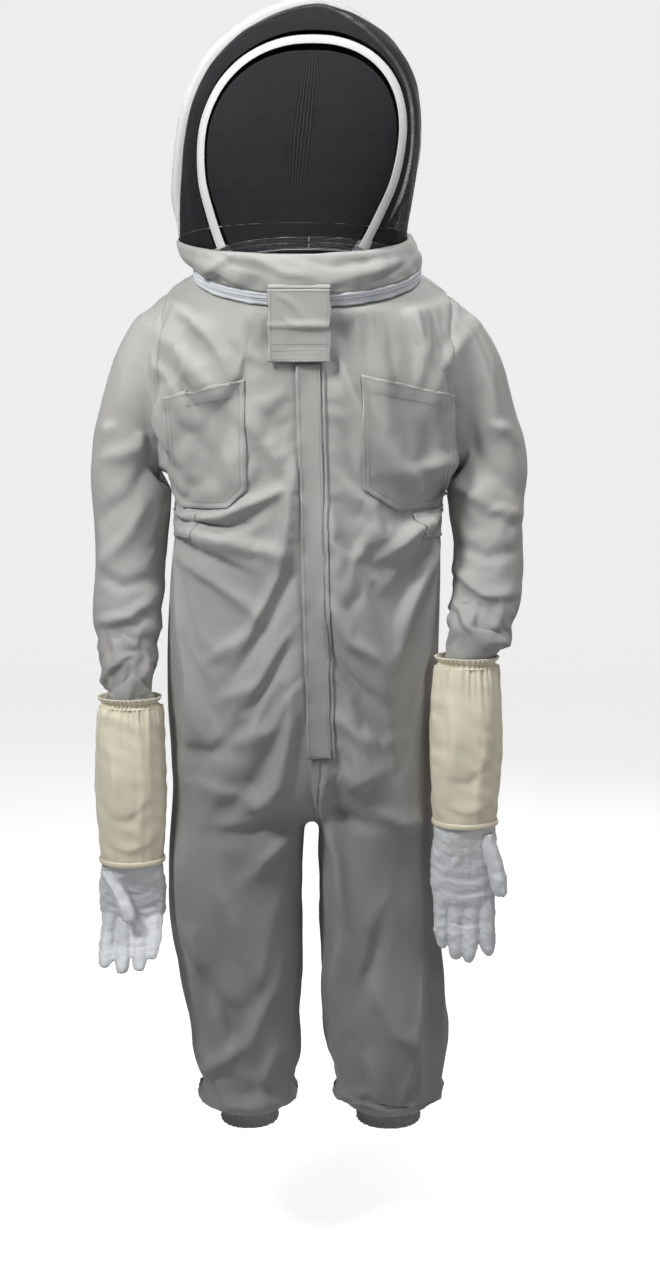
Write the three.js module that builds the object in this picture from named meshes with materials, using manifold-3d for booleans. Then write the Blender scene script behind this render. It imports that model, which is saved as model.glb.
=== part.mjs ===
// Beekeeping suit: a one-piece coverall with a zip-on hooped veil and a pair of long gauntlet gloves.
// Millimetres, +Z up, front faces -Y. "left" is the -X side and "right" the +X side, seen from the front.
// Origin: the middle of the neck opening at the height of the wearer's shoulders.
import * as THREE from 'three';
import { mergeVertices } from 'three/addons/utils/BufferGeometryUtils.js';
import Module from 'manifold-3d';

const wasm = await Module();
wasm.setup();

// Driving sizes
const CLOTH = 2; // wall of one cloth layer with its seam allowances
const GAP = 0.3; // clearance between pieces that touch
const TORSO_LENGTH = 712; // origin down to the crotch
const LEG_LENGTH = 492; // crotch down to the ankle hem
const CHEST_HALF_WIDTH = 215;
const BODY_HALF_DEPTH = 150;
const NECK_RADIUS = 165;
const NECK_TILT_DEG = 18; // the neck opening drops towards the front
const NECK_Z = 75;
const HOOD_HALF_WIDTH = 181;
const HOOD_HEIGHT = 344; // from the hood's base to its crown
const SLEEVE_RADIUS = 53;
const GAUNTLET_LENGTH = 236;
const GAUNTLET_RADIUS = 50;
const HAND_SCALE = 1;

// Neck zip
const TAPE_HEIGHT = 9;
const TAPE_WALL = 1.4;
const TEETH_HEIGHT = 2.2;
const TEETH_STAND = 1.1;
const NECK_SLIDER = { width: 11, height: 13, wall: 4, startDeg: 6 };
const PULL_WALL = 1.4;

// Front closure
const FRONT_LEAN_DEG = 1.6; // the front line runs down and a little to the right
const FRONT_SLOT = 8; // half width of the gap between the front panels
const ZIP_TOP = 4;
const ZIP_LENGTH = 626;
const ZIP_TAIL = 6; // the tapes' slot runs on below the zip
const ZIP_TAPE_HALF = 13;
const SLIDER_SIZE = { width: 11, depth: 2.7, height: 18 };
const PULL_SIZE = { width: 6, depth: 1.2, height: 26 };
const PLACKET = { top: -61, bottom: -622, half: 17, wall: 2, stand: 4.2, base: 6 };

// Throat flap
const FLAP = {
  x: -9.5,
  half: 43,
  top: 40,
  bottom: -59.5,
  wall: 2.4,
  topY: 166,
  bottomY: 157.5,
  base: 6,
  baseReach: 40,
  baseInner: 100,
};
const HOOK = { top: -10, bottom: -33, half: 37, wall: 1.6, margin: 6 };
const LOOP = { inner: 13, outer: 36 };

// Patch pockets, as corner points (distance from the centre, height)
const POCKET_LEFT = [[86, -82], [205, -108], [198, -245], [178, -267], [112, -265], [84, -238]];
const POCKET_RIGHT = [[76, -76], [210, -104], [206, -242], [186, -266], [128, -268], [80, -238]];
const POCKET_GAPE = 16;
const POCKET_HEM = 4;

// Elastics and cuffs
const WAIST_Z = -292;
const WAIST_BAND = { half: 19, wall: 1.8, frontY: -78 };
const ANKLE_BAND = { height: 17, wall: 3.6 };
const CUFF = { height: 30, wall: 2.6 };
const GLOVE_ELASTIC = { height: 14, stand: 1.5, grip: 0.35, roomAbove: 40, roomDeep: 1.05 };
const WRIST_BINDING = { height: 8, wall: 3 };

// Hood hoops: the strip, and for each hoop the y of its top and how its plane leans and turns
const HOOP_WIDTH = 15;
const HOOP_OUT = 2;
const HOOP_IN = 4;
const FRONT_HOOP = { topY: -80, lean: 0.124, turn: 0 };
const CROWN_HOOP = { topY: 22, lean: -0.065, turn: 0.32 };
const HOOD_BASE_Z = 122;
const HOOD_BASE_SLOPE = 0.22;
const HOOD_SHIFT = -20; // the hood's base sits a little left of the neck ring
const HOOD_LEAN = 0.11; // and its crown leans to the right

// Facets round each loft
const BODY_FACETS = 32;
const LEG_FACETS = 20;
const SLEEVE_FACETS = 16;
const HOOD_FACETS = 32;
const RING_FACETS = 36;
const PALM_FACETS = 12;
const FINGER_FACETS = 6;
const SMOOTH = 0.1; // facets flatter than this are merged
const BIG = 4000; // larger than the whole part, for cutting

const tilt = THREE.MathUtils.degToRad(NECK_TILT_DEG);
const lean = THREE.MathUtils.degToRad(FRONT_LEAN_DEG);
const neckSlope = Math.tan(tilt);
const neckDepth = Math.cos(tilt);
const depth = BODY_HALF_DEPTH;
const chest = CHEST_HALF_WIDTH;

// --- Solids -----------------------------------------------------------------------------------

function toSolid(geometry) {
  const bare = new THREE.BufferGeometry();
  bare.setAttribute('position', geometry.getAttribute('position').clone());
  if (geometry.index) {
    bare.setIndex(geometry.index.clone());
  }
  const merged = mergeVertices(bare, 1e-4);
  const mesh = new wasm.Mesh({
    numProp: 3,
    vertProperties: new Float32Array(merged.attributes.position.array),
    triVerts: new Uint32Array(merged.index.array),
  });
  return new wasm.Manifold(mesh);
}

function toGeometry(solid) {
  const mesh = solid.getMesh();
  const geometry = new THREE.BufferGeometry();
  geometry.setAttribute('position', new THREE.BufferAttribute(new Float32Array(mesh.vertProperties), 3));
  geometry.setIndex(new THREE.BufferAttribute(new Uint32Array(mesh.triVerts), 1));
  geometry.computeVertexNormals();
  return geometry;
}

function placed(solid, matrix) {
  return toSolid(toGeometry(solid).applyMatrix4(matrix));
}

function box(x0, x1, y0, y1, z0, z1) {
  const geometry = new THREE.BoxGeometry(x1 - x0, y1 - y0, z1 - z0);
  geometry.translate((x0 + x1) / 2, (y0 + y1) / 2, (z0 + z1) / 2);
  return toSolid(geometry);
}

// A closed skin over rings of points, flat at both ends and facing outwards.
function skin(rings) {
  const count = rings[0].length;
  const points = rings.flat();
  const index = [];
  for (let i = 0; i + 1 < rings.length; i += 1) {
    for (let j = 0; j < count; j += 1) {
      const a = i * count + j;
      const b = i * count + ((j + 1) % count);
      index.push(a, b, b + count, a, b + count, a + count);
    }
  }
  const last = rings.length - 1;
  const ends = [0, last].map((i) => {
    const middle = new THREE.Vector3();
    rings[i].forEach((p) => middle.addScaledVector(p, 1 / count));
    points.push(middle);
    return points.length - 1;
  });
  for (let j = 0; j < count; j += 1) {
    const next = (j + 1) % count;
    index.push(ends[0], next, j);
    index.push(ends[1], last * count + j, last * count + next);
  }
  const geometry = new THREE.BufferGeometry().setFromPoints(points);
  geometry.setIndex(signedVolume(points, index) < 0 ? flipped(index) : index);
  return geometry;
}

function signedVolume(points, index) {
  let volume = 0;
  const cross = new THREE.Vector3();
  for (let i = 0; i < index.length; i += 3) {
    cross.crossVectors(points[index[i + 1]], points[index[i + 2]]);
    volume += points[index[i]].dot(cross) / 6;
  }
  return volume;
}

function flipped(index) {
  const turned = [];
  for (let i = 0; i < index.length; i += 3) {
    turned.push(index[i], index[i + 2], index[i + 1]);
  }
  return turned;
}

// The same skin moved out (or in, when negative) along its normals.
function grownSkin(rings, distance) {
  const geometry = skin(rings);
  geometry.computeVertexNormals();
  const position = geometry.attributes.position;
  const normal = geometry.attributes.normal;
  for (let i = 0; i < position.count; i += 1) {
    position.setXYZ(
      i,
      position.getX(i) + normal.getX(i) * distance,
      position.getY(i) + normal.getY(i) * distance,
      position.getZ(i) + normal.getZ(i) * distance,
    );
  }
  return toSolid(geometry);
}

function signedPower(value, power) {
  return Math.sign(value) * Math.abs(value) ** power;
}

// A ring round +Z: half width a, front and back half depths, tilt as rise over run in y.
function flatRing({ x = 0, y = 0, z, a, front, back = front, slope = 0, square = 2 }, facets) {
  return Array.from({ length: facets }, (_, j) => {
    const turn = (2 * Math.PI * j) / facets;
    const c = signedPower(Math.cos(turn), 2 / square);
    const s = signedPower(Math.sin(turn), 2 / square);
    const run = s * (s < 0 ? front : back);
    return new THREE.Vector3(x + a * c, y + run, z + slope * (y + run));
  });
}

// Rings square to a bent path; side is the direction that every ring keeps.
function pathRings(stations, side, facets) {
  const centres = stations.map((s) => new THREE.Vector3(...s.at));
  return stations.map((s, i) => {
    const before = centres[Math.max(i - 1, 0)];
    const after = centres[Math.min(i + 1, centres.length - 1)];
    const along = after.clone().sub(before).normalize();
    const across = new THREE.Vector3().crossVectors(side, along).normalize();
    return Array.from({ length: facets }, (_, j) => {
      const turn = (2 * Math.PI * j) / facets;
      return centres[i]
        .clone()
        .addScaledVector(across, s.wide * Math.cos(turn))
        .addScaledVector(side, s.deep * Math.sin(turn));
    });
  });
}

// Rings carried on past one end or both, so that a cut runs clear through.
function carriedOn(rings, atStart, atEnd) {
  const beyond = (from, towards, distance) => {
    const step = middleOf(towards).sub(middleOf(from)).setLength(distance);
    return towards.map((p) => p.clone().add(step));
  };
  const result = [...rings];
  if (atStart > 0) {
    result.unshift(beyond(rings[1], rings[0], atStart));
  }
  if (atEnd > 0) {
    result.push(beyond(rings[rings.length - 2], rings[rings.length - 1], atEnd));
  }
  return result;
}

function middleOf(ring) {
  const middle = new THREE.Vector3();
  ring.forEach((p) => middle.addScaledVector(p, 1 / ring.length));
  return middle;
}

// A ring-shaped wall of the given thickness, open at both ends.
function sleeveOf(rings, inward, outward = 0) {
  const cut = grownSkin(carriedOn(rings, CLOTH * 4, CLOTH * 4), -inward);
  const body = outward === 0 ? toSolid(skin(rings)) : endTrim(rings, outward);
  return body.subtract(cut);
}

// A grown skin whose ends stay where the rings end.
function endTrim(rings, outward) {
  const grown = rings.map((ring, i) => {
    const middle = middleOf(ring);
    return ring.map((p) => p.clone().add(p.clone().sub(middle).setLength(outward)));
  });
  return toSolid(skin(grown));
}

// A prism through the whole depth from an outline in the XZ plane.
function frontPrism(outline, y0, y1) {
  const shape = new THREE.Shape(outline.map(([x, z]) => new THREE.Vector2(x, z)));
  const geometry = new THREE.ExtrudeGeometry(shape, { depth: y1 - y0, bevelEnabled: false });
  geometry.rotateX(Math.PI / 2);
  geometry.translate(0, y1, 0);
  return toSolid(geometry);
}

// --- Parts list -------------------------------------------------------------------------------

const suit = new THREE.Group();
suit.name = 'beekeeping_suit';

const FINISH = {
  twill: { color: 0x9d9893, roughness: 0.78, metalness: 0 },
  trim: { color: 0xb9b6b2, roughness: 0.8, metalness: 0 },
  tape: { color: 0xdfe5ee, roughness: 0.7, metalness: 0 },
  steel: { color: 0xb4b6b8, roughness: 0.35, metalness: 0.9 },
  hook: { color: 0x8d8986, roughness: 0.95, metalness: 0 },
  hoop: { color: 0xeeeeee, roughness: 0.75, metalness: 0 },
  veil: { color: 0x2a2c2e, roughness: 0.85, metalness: 0 },
  canvas: { color: 0xe8e0c4, roughness: 0.85, metalness: 0 },
  leather: { color: 0xd9dcde, roughness: 0.6, metalness: 0 },
};

function add(name, solid, finish) {
  const material = new THREE.MeshStandardMaterial({ ...FINISH[finish], name });
  const mesh = new THREE.Mesh(toGeometry(solid.simplify(SMOOTH)), material);
  mesh.name = name;
  suit.add(mesh);
}

// --- Coverall ---------------------------------------------------------------------------------

// Torso rings: [height, half width, front depth, back depth, tilt, centre x], as shares of the driving sizes.
const TORSO = [
  [-0.053, 0.99, 1.0, 1.053, 0.28, 0],
  [-0.017, 1.116, 1.0, 1.047, 0.2, 0],
  [0.025, 1.19, 1.0, 1.01, 0.12, 0],
  [0.077, 1.21, 1.0, 0.973, 0.05, 0],
  [0.14, 1.163, 1.0, 0.947, 0, 0],
  [0.21, 1.06, 1.0, 0.947, 0, 0],
  [0.3, 0.967, 1.0, 0.96, 0, 0],
  [0.41, 0.912, 1.0, 0.92, 0, 0],
  [0.463, 0.93, 1.0, 0.933, 0, -0.01],
  [0.56, 0.96, 1.0, 0.973, 0, -0.03],
  [0.7, 0.968, 1.0, 1.0, 0, -0.046],
  [0.84, 0.958, 1.0, 0.987, 0, -0.046],
  [0.925, 0.93, 0.947, 0.92, 0, -0.046],
  [0.97, 0.88, 0.78, 0.76, 0, -0.046],
  [1.0, 0.79, 0.46, 0.44, 0, -0.046],
];
const TORSO_SQUARE = 2.25;

function neckRing(drop, radius) {
  return flatRing(
    {
      y: drop * Math.sin(tilt),
      z: NECK_Z - drop * (Math.cos(tilt) + Math.sin(tilt) * neckSlope),
      a: radius,
      front: radius * neckDepth,
      slope: neckSlope,
    },
    BODY_FACETS,
  );
}

const torsoRings = [
  neckRing(TAPE_HEIGHT + GAP, NECK_RADIUS),
  neckRing(TAPE_HEIGHT + 8, NECK_RADIUS + 9),
  ...TORSO.map(([z, a, front, back, slope, x], i) =>
    flatRing(
      {
        x: x * chest,
        z: -z * TORSO_LENGTH,
        a: a * chest,
        front: front * depth,
        back: back * depth,
        slope,
        square: i < 3 ? 2 : TORSO_SQUARE,
      },
      BODY_FACETS,
    ),
  ),
];

// Leg rings: [share of the leg below the crotch, centre x, half width, front depth, back depth].
const LEG_LEFT = [
  [-0.34, -104, 92, 118, 118],
  [-0.14, -106, 100, 126, 124],
  [0, -110, 102, 122, 122],
  [0.16, -112, 104, 116, 118],
  [0.36, -113, 104, 108, 112],
  [0.51, -104, 93, 100, 104],
  [0.68, -94, 83, 92, 96],
  [0.82, -92, 78, 88, 92],
  [0.92, -93, 75, 84, 88],
  [0.975, -92, 62, 70, 74],
  [1.0, -92, 45, 54, 58],
];
const LEG_RIGHT = [
  [-0.34, 94, 88, 118, 118],
  [-0.14, 99, 95, 124, 124],
  [0, 104, 93, 121, 122],
  [0.16, 105, 91, 116, 118],
  [0.36, 106, 91, 108, 112],
  [0.51, 111, 93, 102, 106],
  [0.68, 117, 94, 98, 100],
  [0.82, 122, 89, 94, 96],
  [0.92, 124, 85, 88, 92],
  [0.975, 124, 70, 74, 78],
  [1.0, 124, 50, 56, 60],
];

function legRings(rows) {
  return rows.map(([share, x, a, front, back]) =>
    flatRing(
      { x, z: -TORSO_LENGTH - share * LEG_LENGTH, a, front, back, square: 2.2 },
      LEG_FACETS,
    ),
  );
}

const legs = [legRings(LEG_LEFT), legRings(LEG_RIGHT)];

// Sleeve stations: [centre x, y, z, half width, half depth], widths as shares of the sleeve's radius.
const SLEEVE_RIGHT = [
  [186, -4, -38, 1.6, 1.5],
  [222, -4, -76, 1.42, 1.38],
  [250, -4, -134, 1.13, 1.22],
  [269, -6, -205, 1.0, 1.12],
  [271, -18, -300, 0.98, 1.06],
  [266, -48, -385, 1.02, 1.02],
  [250, -74, -435, 0.96, 0.96],
  [236, -89, -476, 0.68, 0.7],
  [232, -92, -510, 0.66, 0.68],
  [232, -92, -600, 0.64, 0.66],
  [232, -92, -690, 0.6, 0.62],
];
const SLEEVE_LEFT = [
  [-186, -4, -38, 1.6, 1.5],
  [-222, -4, -76, 1.42, 1.38],
  [-249, -4, -134, 1.13, 1.22],
  [-266, -6, -205, 1.0, 1.12],
  [-268, -12, -310, 0.99, 1.06],
  [-268, -34, -420, 0.96, 1.0],
  [-265, -58, -500, 0.84, 0.88],
  [-262, -68, -544, 0.68, 0.7],
  [-262, -70, -580, 0.66, 0.68],
  [-262, -70, -660, 0.64, 0.66],
  [-262, -70, -752, 0.6, 0.62],
];

function sleeveStations(rows) {
  return rows.map(([x, y, z, wide, deep]) => ({
    at: [x, y, z],
    wide: wide * SLEEVE_RADIUS,
    deep: deep * SLEEVE_RADIUS,
  }));
}

const FORWARD = new THREE.Vector3(0, 1, 0);
const sleeves = [SLEEVE_LEFT, SLEEVE_RIGHT].map((rows) =>
  pathRings(sleeveStations(rows), FORWARD, SLEEVE_FACETS),
);

function coverallShell() {
  const outer = [torsoRings, ...legs].map((rings) => toSolid(skin(rings)));
  const inner = [
    grownSkin(carriedOn(torsoRings, CLOTH * 6, 0), -CLOTH),
    ...legs.map((rings) => grownSkin(carriedOn(rings, 0, CLOTH * 6), -CLOTH)),
  ];
  const wall = outer.reduce((sum, part) => sum.add(part)).subtract(inner.reduce((sum, part) => sum.add(part)));
  return sleeves.reduce((rest, rings) => rest.subtract(grownSkin(rings, GAP)), wall);
}

const leanMatrix = new THREE.Matrix4().makeRotationY(-lean);
const frontLine = (solid) => placed(solid, leanMatrix);

function addCoverall() {
  const wall = coverallShell();
  const half = GAP / 2;
  const slotEnd = ZIP_TOP - ZIP_LENGTH - ZIP_TAIL;
  const frontSlot = frontLine(box(-FRONT_SLOT, FRONT_SLOT, -BIG, 0, slotEnd, BIG));
  const frontSeam = frontLine(box(-half, half, -BIG, 0, -BIG, ZIP_TOP - ZIP_LENGTH));
  const front = wall.intersect(box(-BIG, BIG, -BIG, -half, -BIG, BIG)).subtract(frontSlot).subtract(frontSeam);
  const back = wall.intersect(box(-BIG, BIG, half, BIG, -BIG, BIG));
  const below = WAIST_Z - half;
  const leftOf = frontLine(box(-BIG, 0, -BIG, BIG, -BIG, BIG));
  const rightOf = frontLine(box(0, BIG, -BIG, BIG, -BIG, BIG));
  add('front_panel_left', front.intersect(leftOf), 'twill');
  add('front_panel_right', front.intersect(rightOf), 'twill');
  add('back_panel', back.intersect(box(-BIG, BIG, -BIG, BIG, WAIST_Z + half, BIG)), 'twill');
  add('seat_left', back.intersect(box(-BIG, -half, -BIG, BIG, -BIG, below)), 'twill');
  add('seat_right', back.intersect(box(half, BIG, -BIG, BIG, -BIG, below)), 'twill');
}

function addSleeves() {
  const torso = grownSkin(carriedOn(torsoRings, CLOTH * 6, 0), GAP);
  ['left', 'right'].forEach((side, i) => {
    add(`sleeve_${side}`, sleeveOf(sleeves[i], CLOTH).subtract(torso), 'twill');
    const wrist = sleeves[i].slice(-2);
    const cuff = carriedOn(wrist, 0, CUFF.height + GAP).slice(-2);
    cuff[0] = cuff[0].map((p, j) => p.clone().lerp(cuff[1][j], GAP / (CUFF.height + GAP)));
    add(`wrist_cuff_${side}`, sleeveOf(cuff, CUFF.wall, 0.4), 'trim');
  });
}

function addElastics() {
  const outside = grownSkin(torsoRings, GAP + WAIST_BAND.wall).subtract(grownSkin(torsoRings, GAP));
  const zone = box(-BIG, BIG, WAIST_BAND.frontY, BIG, WAIST_Z - WAIST_BAND.half, WAIST_Z + WAIST_BAND.half);
  add('waist_elastic', outside.intersect(zone), 'trim');
  ['left', 'right'].forEach((side, i) => {
    const hem = legs[i][legs[i].length - 1];
    const drop = (ring, by) => ring.map((p) => p.clone().setZ(p.z - by));
    const rings = [drop(hem, GAP), drop(hem, GAP + ANKLE_BAND.height)];
    add(`ankle_hem_${side}`, sleeveOf(rings, ANKLE_BAND.wall - 1, 1), 'trim');
  });
}

function addPockets() {
  const scale = chest / 215;
  const [outer, inner] = [POCKET_GAPE + CLOTH, POCKET_GAPE].map((d) => grownSkin(torsoRings, d));
  const skinClear = grownSkin(torsoRings, GAP);
  [['left', POCKET_LEFT, -1], ['right', POCKET_RIGHT, 1]].forEach(([side, corners, sign], i) => {
    const outline = corners.map(([x, z]) => [sign * x * scale, z]);
    const middle = [0, 1].map((k) => outline.reduce((sum, p) => sum + p[k], 0) / outline.length);
    const cavity = outline.map(([x, z], k) => [
      x + Math.sign(middle[0] - x) * POCKET_HEM,
      k < 2 ? z + POCKET_HEM * 8 : z + Math.sign(middle[1] - z) * POCKET_HEM,
    ]);
    const patch = outer.subtract(skinClear).intersect(frontPrism(outline, -BIG / 8, 0));
    const hollow = inner.intersect(frontPrism(cavity, -BIG / 8, 0));
    const arm = grownSkin(sleeves[i], GAP);
    add(`chest_pocket_${side}`, patch.subtract(hollow).subtract(arm), 'twill');
  });
}

// --- Front closure ----------------------------------------------------------------------------

function addFrontClosure() {
  const face = -depth;
  const tapeFront = face + CLOTH + GAP;
  const tapeBack = tapeFront + TAPE_WALL;
  const bottom = ZIP_TOP - ZIP_LENGTH;
  const inside = grownSkin(torsoRings, -(CLOTH + GAP));
  [['left', -1], ['right', 1]].forEach(([side, sign]) => {
    const span = (near, far) => (sign < 0 ? [-far, -near] : [near, far]);
    const [a0, a1] = span(GAP / 2, ZIP_TAPE_HALF);
    const [b0, b1] = span(GAP / 2, TEETH_HEIGHT);
    const tape = frontLine(box(a0, a1, tapeFront, tapeBack, bottom, ZIP_TOP)).intersect(inside);
    const teeth = frontLine(box(b0, b1, tapeFront - TEETH_STAND, tapeBack, bottom + 4, ZIP_TOP));
    add(`main_zip_tape_${side}`, tape.add(teeth), 'tape');
  });
  const sliderBack = tapeFront - TEETH_STAND - GAP;
  const sliderFront = sliderBack - SLIDER_SIZE.depth;
  const sliderTop = ZIP_TOP - 4;
  const w = SLIDER_SIZE.width / 2;
  const slider = box(-w, w, sliderFront, sliderBack, sliderTop - SLIDER_SIZE.height, sliderTop);
  add('main_zip_slider', frontLine(slider), 'steel');
  const pullBack = sliderFront - GAP;
  const p = PULL_SIZE.width / 2;
  const pullTop = sliderTop - 5;
  const pull = box(-p, p, pullBack - PULL_SIZE.depth, pullBack, pullTop - PULL_SIZE.height, pullTop);
  add('main_zip_pull', frontLine(pull), 'steel');
  const stop = box(-w, w, sliderFront, tapeFront - GAP, bottom, bottom + 3.6);
  add('main_zip_stop', frontLine(stop), 'steel');
  const back = face - PLACKET.stand;
  const flyFront = back - PLACKET.wall;
  const fly = box(-PLACKET.half, PLACKET.half, flyFront, back, PLACKET.bottom, PLACKET.top);
  add('placket', frontLine(fly), 'twill');
  const baseX = PLACKET.half + GAP;
  const base = box(baseX, baseX + PLACKET.base, flyFront + 0.4, 0, PLACKET.bottom, PLACKET.top);
  add('placket_base', frontLine(base).subtract(grownSkin(torsoRings, GAP)), 'trim');
}

// --- Neck zip ---------------------------------------------------------------------------------

const ringPlace = new THREE.Matrix4()
  .makeTranslation(0, 0, NECK_Z)
  .multiply(new THREE.Matrix4().makeRotationX(tilt));

// A band turned about the neck's axis; angles in degrees from the front, positive to the right.
function neckArc(profile, fromDeg, toDeg) {
  const points = profile.map(([r, z]) => new THREE.Vector2(r, z));
  points.push(points[0].clone());
  const start = THREE.MathUtils.degToRad(fromDeg);
  const sweep = THREE.MathUtils.degToRad(toDeg - fromDeg);
  const facets = Math.max(1, Math.round((RING_FACETS * Math.abs(sweep)) / (2 * Math.PI)));
  const rings = Array.from({ length: facets + 1 }, (_, i) => {
    const turn = start + (sweep * i) / facets;
    return points.slice(0, -1).map((p) =>
      new THREE.Vector3(p.x * Math.sin(turn), -p.x * Math.cos(turn), p.y).applyMatrix4(ringPlace),
    );
  });
  return toSolid(skin(rings));
}

function addNeckZips() {
  const r = NECK_RADIUS;
  const inner = r - TAPE_WALL;
  const bead = r + TEETH_STAND;
  const near = GAP / 2;
  const tape = [
    [inner, near],
    [bead, near],
    [bead, TEETH_HEIGHT],
    [r, TEETH_HEIGHT],
    [r, TAPE_HEIGHT],
    [inner, TAPE_HEIGHT],
  ];
  const mirrored = tape.map(([x, z]) => [x, -z]);
  const s = NECK_SLIDER;
  const body = [[bead + GAP, -s.height / 2], [bead + GAP + s.wall, -s.height / 2]];
  const sliderProfile = [...body, ...[...body].reverse().map(([x, z]) => [x, -z])];
  const pullBase = bead + 2 * GAP + s.wall;
  const pullProfile = [[pullBase, -9], [pullBase + PULL_WALL, -9], [pullBase + PULL_WALL, 4], [pullBase, 4]];
  const sliderArc = THREE.MathUtils.radToDeg(s.width / bead);
  const pullArc = sliderArc * 0.5;
  [['left', -1], ['right', 1]].forEach(([side, sign]) => {
    add(`neck_zip_hood_${side}`, neckArc(tape, sign * 0.6, sign * 178), 'tape');
    add(`neck_zip_suit_${side}`, neckArc(mirrored, sign * 0.6, sign * 178), 'tape');
    const at = sign * s.startDeg;
    add(`neck_slider_${side}`, neckArc(sliderProfile, at - sliderArc / 2, at + sliderArc / 2), 'steel');
    add(`neck_pull_${side}`, neckArc(pullProfile, at - pullArc / 2, at + pullArc / 2), 'steel');
  });
}

// --- Hood -------------------------------------------------------------------------------------

// Dome rings: [share of the height, half width, front depth, back depth, tilt, squareness, centre y].
const DOME = [
  [0, 0.917, 155, 155, HOOD_BASE_SLOPE, 2, 0],
  [0.125, 0.95, 154, 160, 0.15, 2.3, 0],
  [0.26, 0.985, 150, 163, 0.08, 2.7, 0],
  [0.41, 1.0, 140, 164, 0, 2.9, 0],
  [0.55, 0.972, 128, 162, 0, 2.8, 0],
  [0.67, 0.9, 112, 156, 0, 2.7, 0],
  [0.77, 0.79, 95, 142, 0, 2.5, 0],
  [0.86, 0.62, 74, 118, 0, 2.3, 0],
  [0.93, 0.43, 52, 84, 0, 2.1, 8],
  [0.975, 0.24, 32, 48, 0, 2, 16],
  [1, 0.06, 8, 12, 0, 2, 22],
];

const hoodRings = DOME.map(([share, a, front, back, slope, square, y]) =>
  flatRing(
    {
      x: HOOD_SHIFT + HOOD_LEAN * share * HOOD_HEIGHT,
      y,
      z: HOOD_BASE_Z + share * HOOD_HEIGHT - slope * y,
      a: a * HOOD_HALF_WIDTH,
      front,
      back,
      slope,
      square,
    },
    HOOD_FACETS,
  ),
);

// The slab of a hoop: all that is from y0 to y1 behind its plane, which leans and turns.
function hoopSlab({ topY, lean: slant, turn }, y0, y1) {
  const crown = HOOD_BASE_Z + HOOD_HEIGHT;
  const along = new THREE.Matrix4().set(1, 0, 0, 0, turn, 1, slant, topY - slant * crown, 0, 0, 1, 0, 0, 0, 0, 1);
  return placed(box(-BIG, BIG, y0, y1, -BIG, BIG), along);
}

function addHood() {
  const open = carriedOn(hoodRings, CLOTH * 6, 0);
  const cloth = toSolid(skin(hoodRings)).subtract(grownSkin(open, -CLOTH));
  const aboveBase = placed(
    box(-BIG, BIG, -BIG, BIG, 0, BIG),
    new THREE.Matrix4().set(1, 0, 0, 0, 0, 1, 0, 0, 0, HOOD_BASE_SLOPE, 1, HOOD_BASE_Z, 0, 0, 0, 1),
  );
  const thick = grownSkin(open, HOOP_OUT).subtract(grownSkin(open, -HOOP_IN)).intersect(aboveBase);
  const half = HOOP_WIDTH / 2;
  const clear = half + GAP;
  add('hoop_front', thick.intersect(hoopSlab(FRONT_HOOP, -half, half)), 'hoop');
  add('hoop_crown', thick.intersect(hoopSlab(CROWN_HOOP, -half, half)), 'hoop');
  add('veil_front', cloth.intersect(hoopSlab(FRONT_HOOP, -BIG, -clear)), 'veil');
  const between = hoopSlab(FRONT_HOOP, clear, BIG).intersect(hoopSlab(CROWN_HOOP, -BIG, -clear));
  add('veil_gusset', cloth.intersect(between), 'veil');
  add('hood_back', cloth.intersect(hoopSlab(CROWN_HOOP, clear, BIG)), 'twill');
}

const bandRings = [
  flatRing(
    {
      y: -(TAPE_HEIGHT + GAP) * Math.sin(tilt),
      z: NECK_Z + (TAPE_HEIGHT + GAP) * (Math.cos(tilt) + Math.sin(tilt) * neckSlope),
      a: NECK_RADIUS,
      front: NECK_RADIUS * neckDepth,
      slope: neckSlope,
    },
    HOOD_FACETS,
  ),
  flatRing(
    { x: HOOD_SHIFT / 2, y: -2, z: 104, a: NECK_RADIUS + 8, front: 163, back: 159, slope: 0.27 },
    HOOD_FACETS,
  ),
  flatRing(
    { x: HOOD_SHIFT, z: HOOD_BASE_Z - GAP, a: 0.917 * HOOD_HALF_WIDTH, front: 155, slope: HOOD_BASE_SLOPE },
    HOOD_FACETS,
  ),
];

function addCollar() {
  add('collar_band', sleeveOf(bandRings, CLOTH), 'twill');
}

// --- Throat flap ------------------------------------------------------------------------------

function flapSlab(x0, x1, z0, z1, from, to) {
  const drop = FLAP.top - FLAP.bottom;
  const slope = (FLAP.topY - FLAP.bottomY) / drop;
  const yAt = (z) => -(FLAP.bottomY + (z - FLAP.bottom) * slope);
  const outline = [[yAt(z0) - to, z0], [yAt(z0) - from, z0], [yAt(z1) - from, z1], [yAt(z1) - to, z1]];
  const rings = [x0, x1].map((x) => outline.map(([y, z]) => new THREE.Vector3(x, y, z)));
  return toSolid(skin(rings));
}

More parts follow.
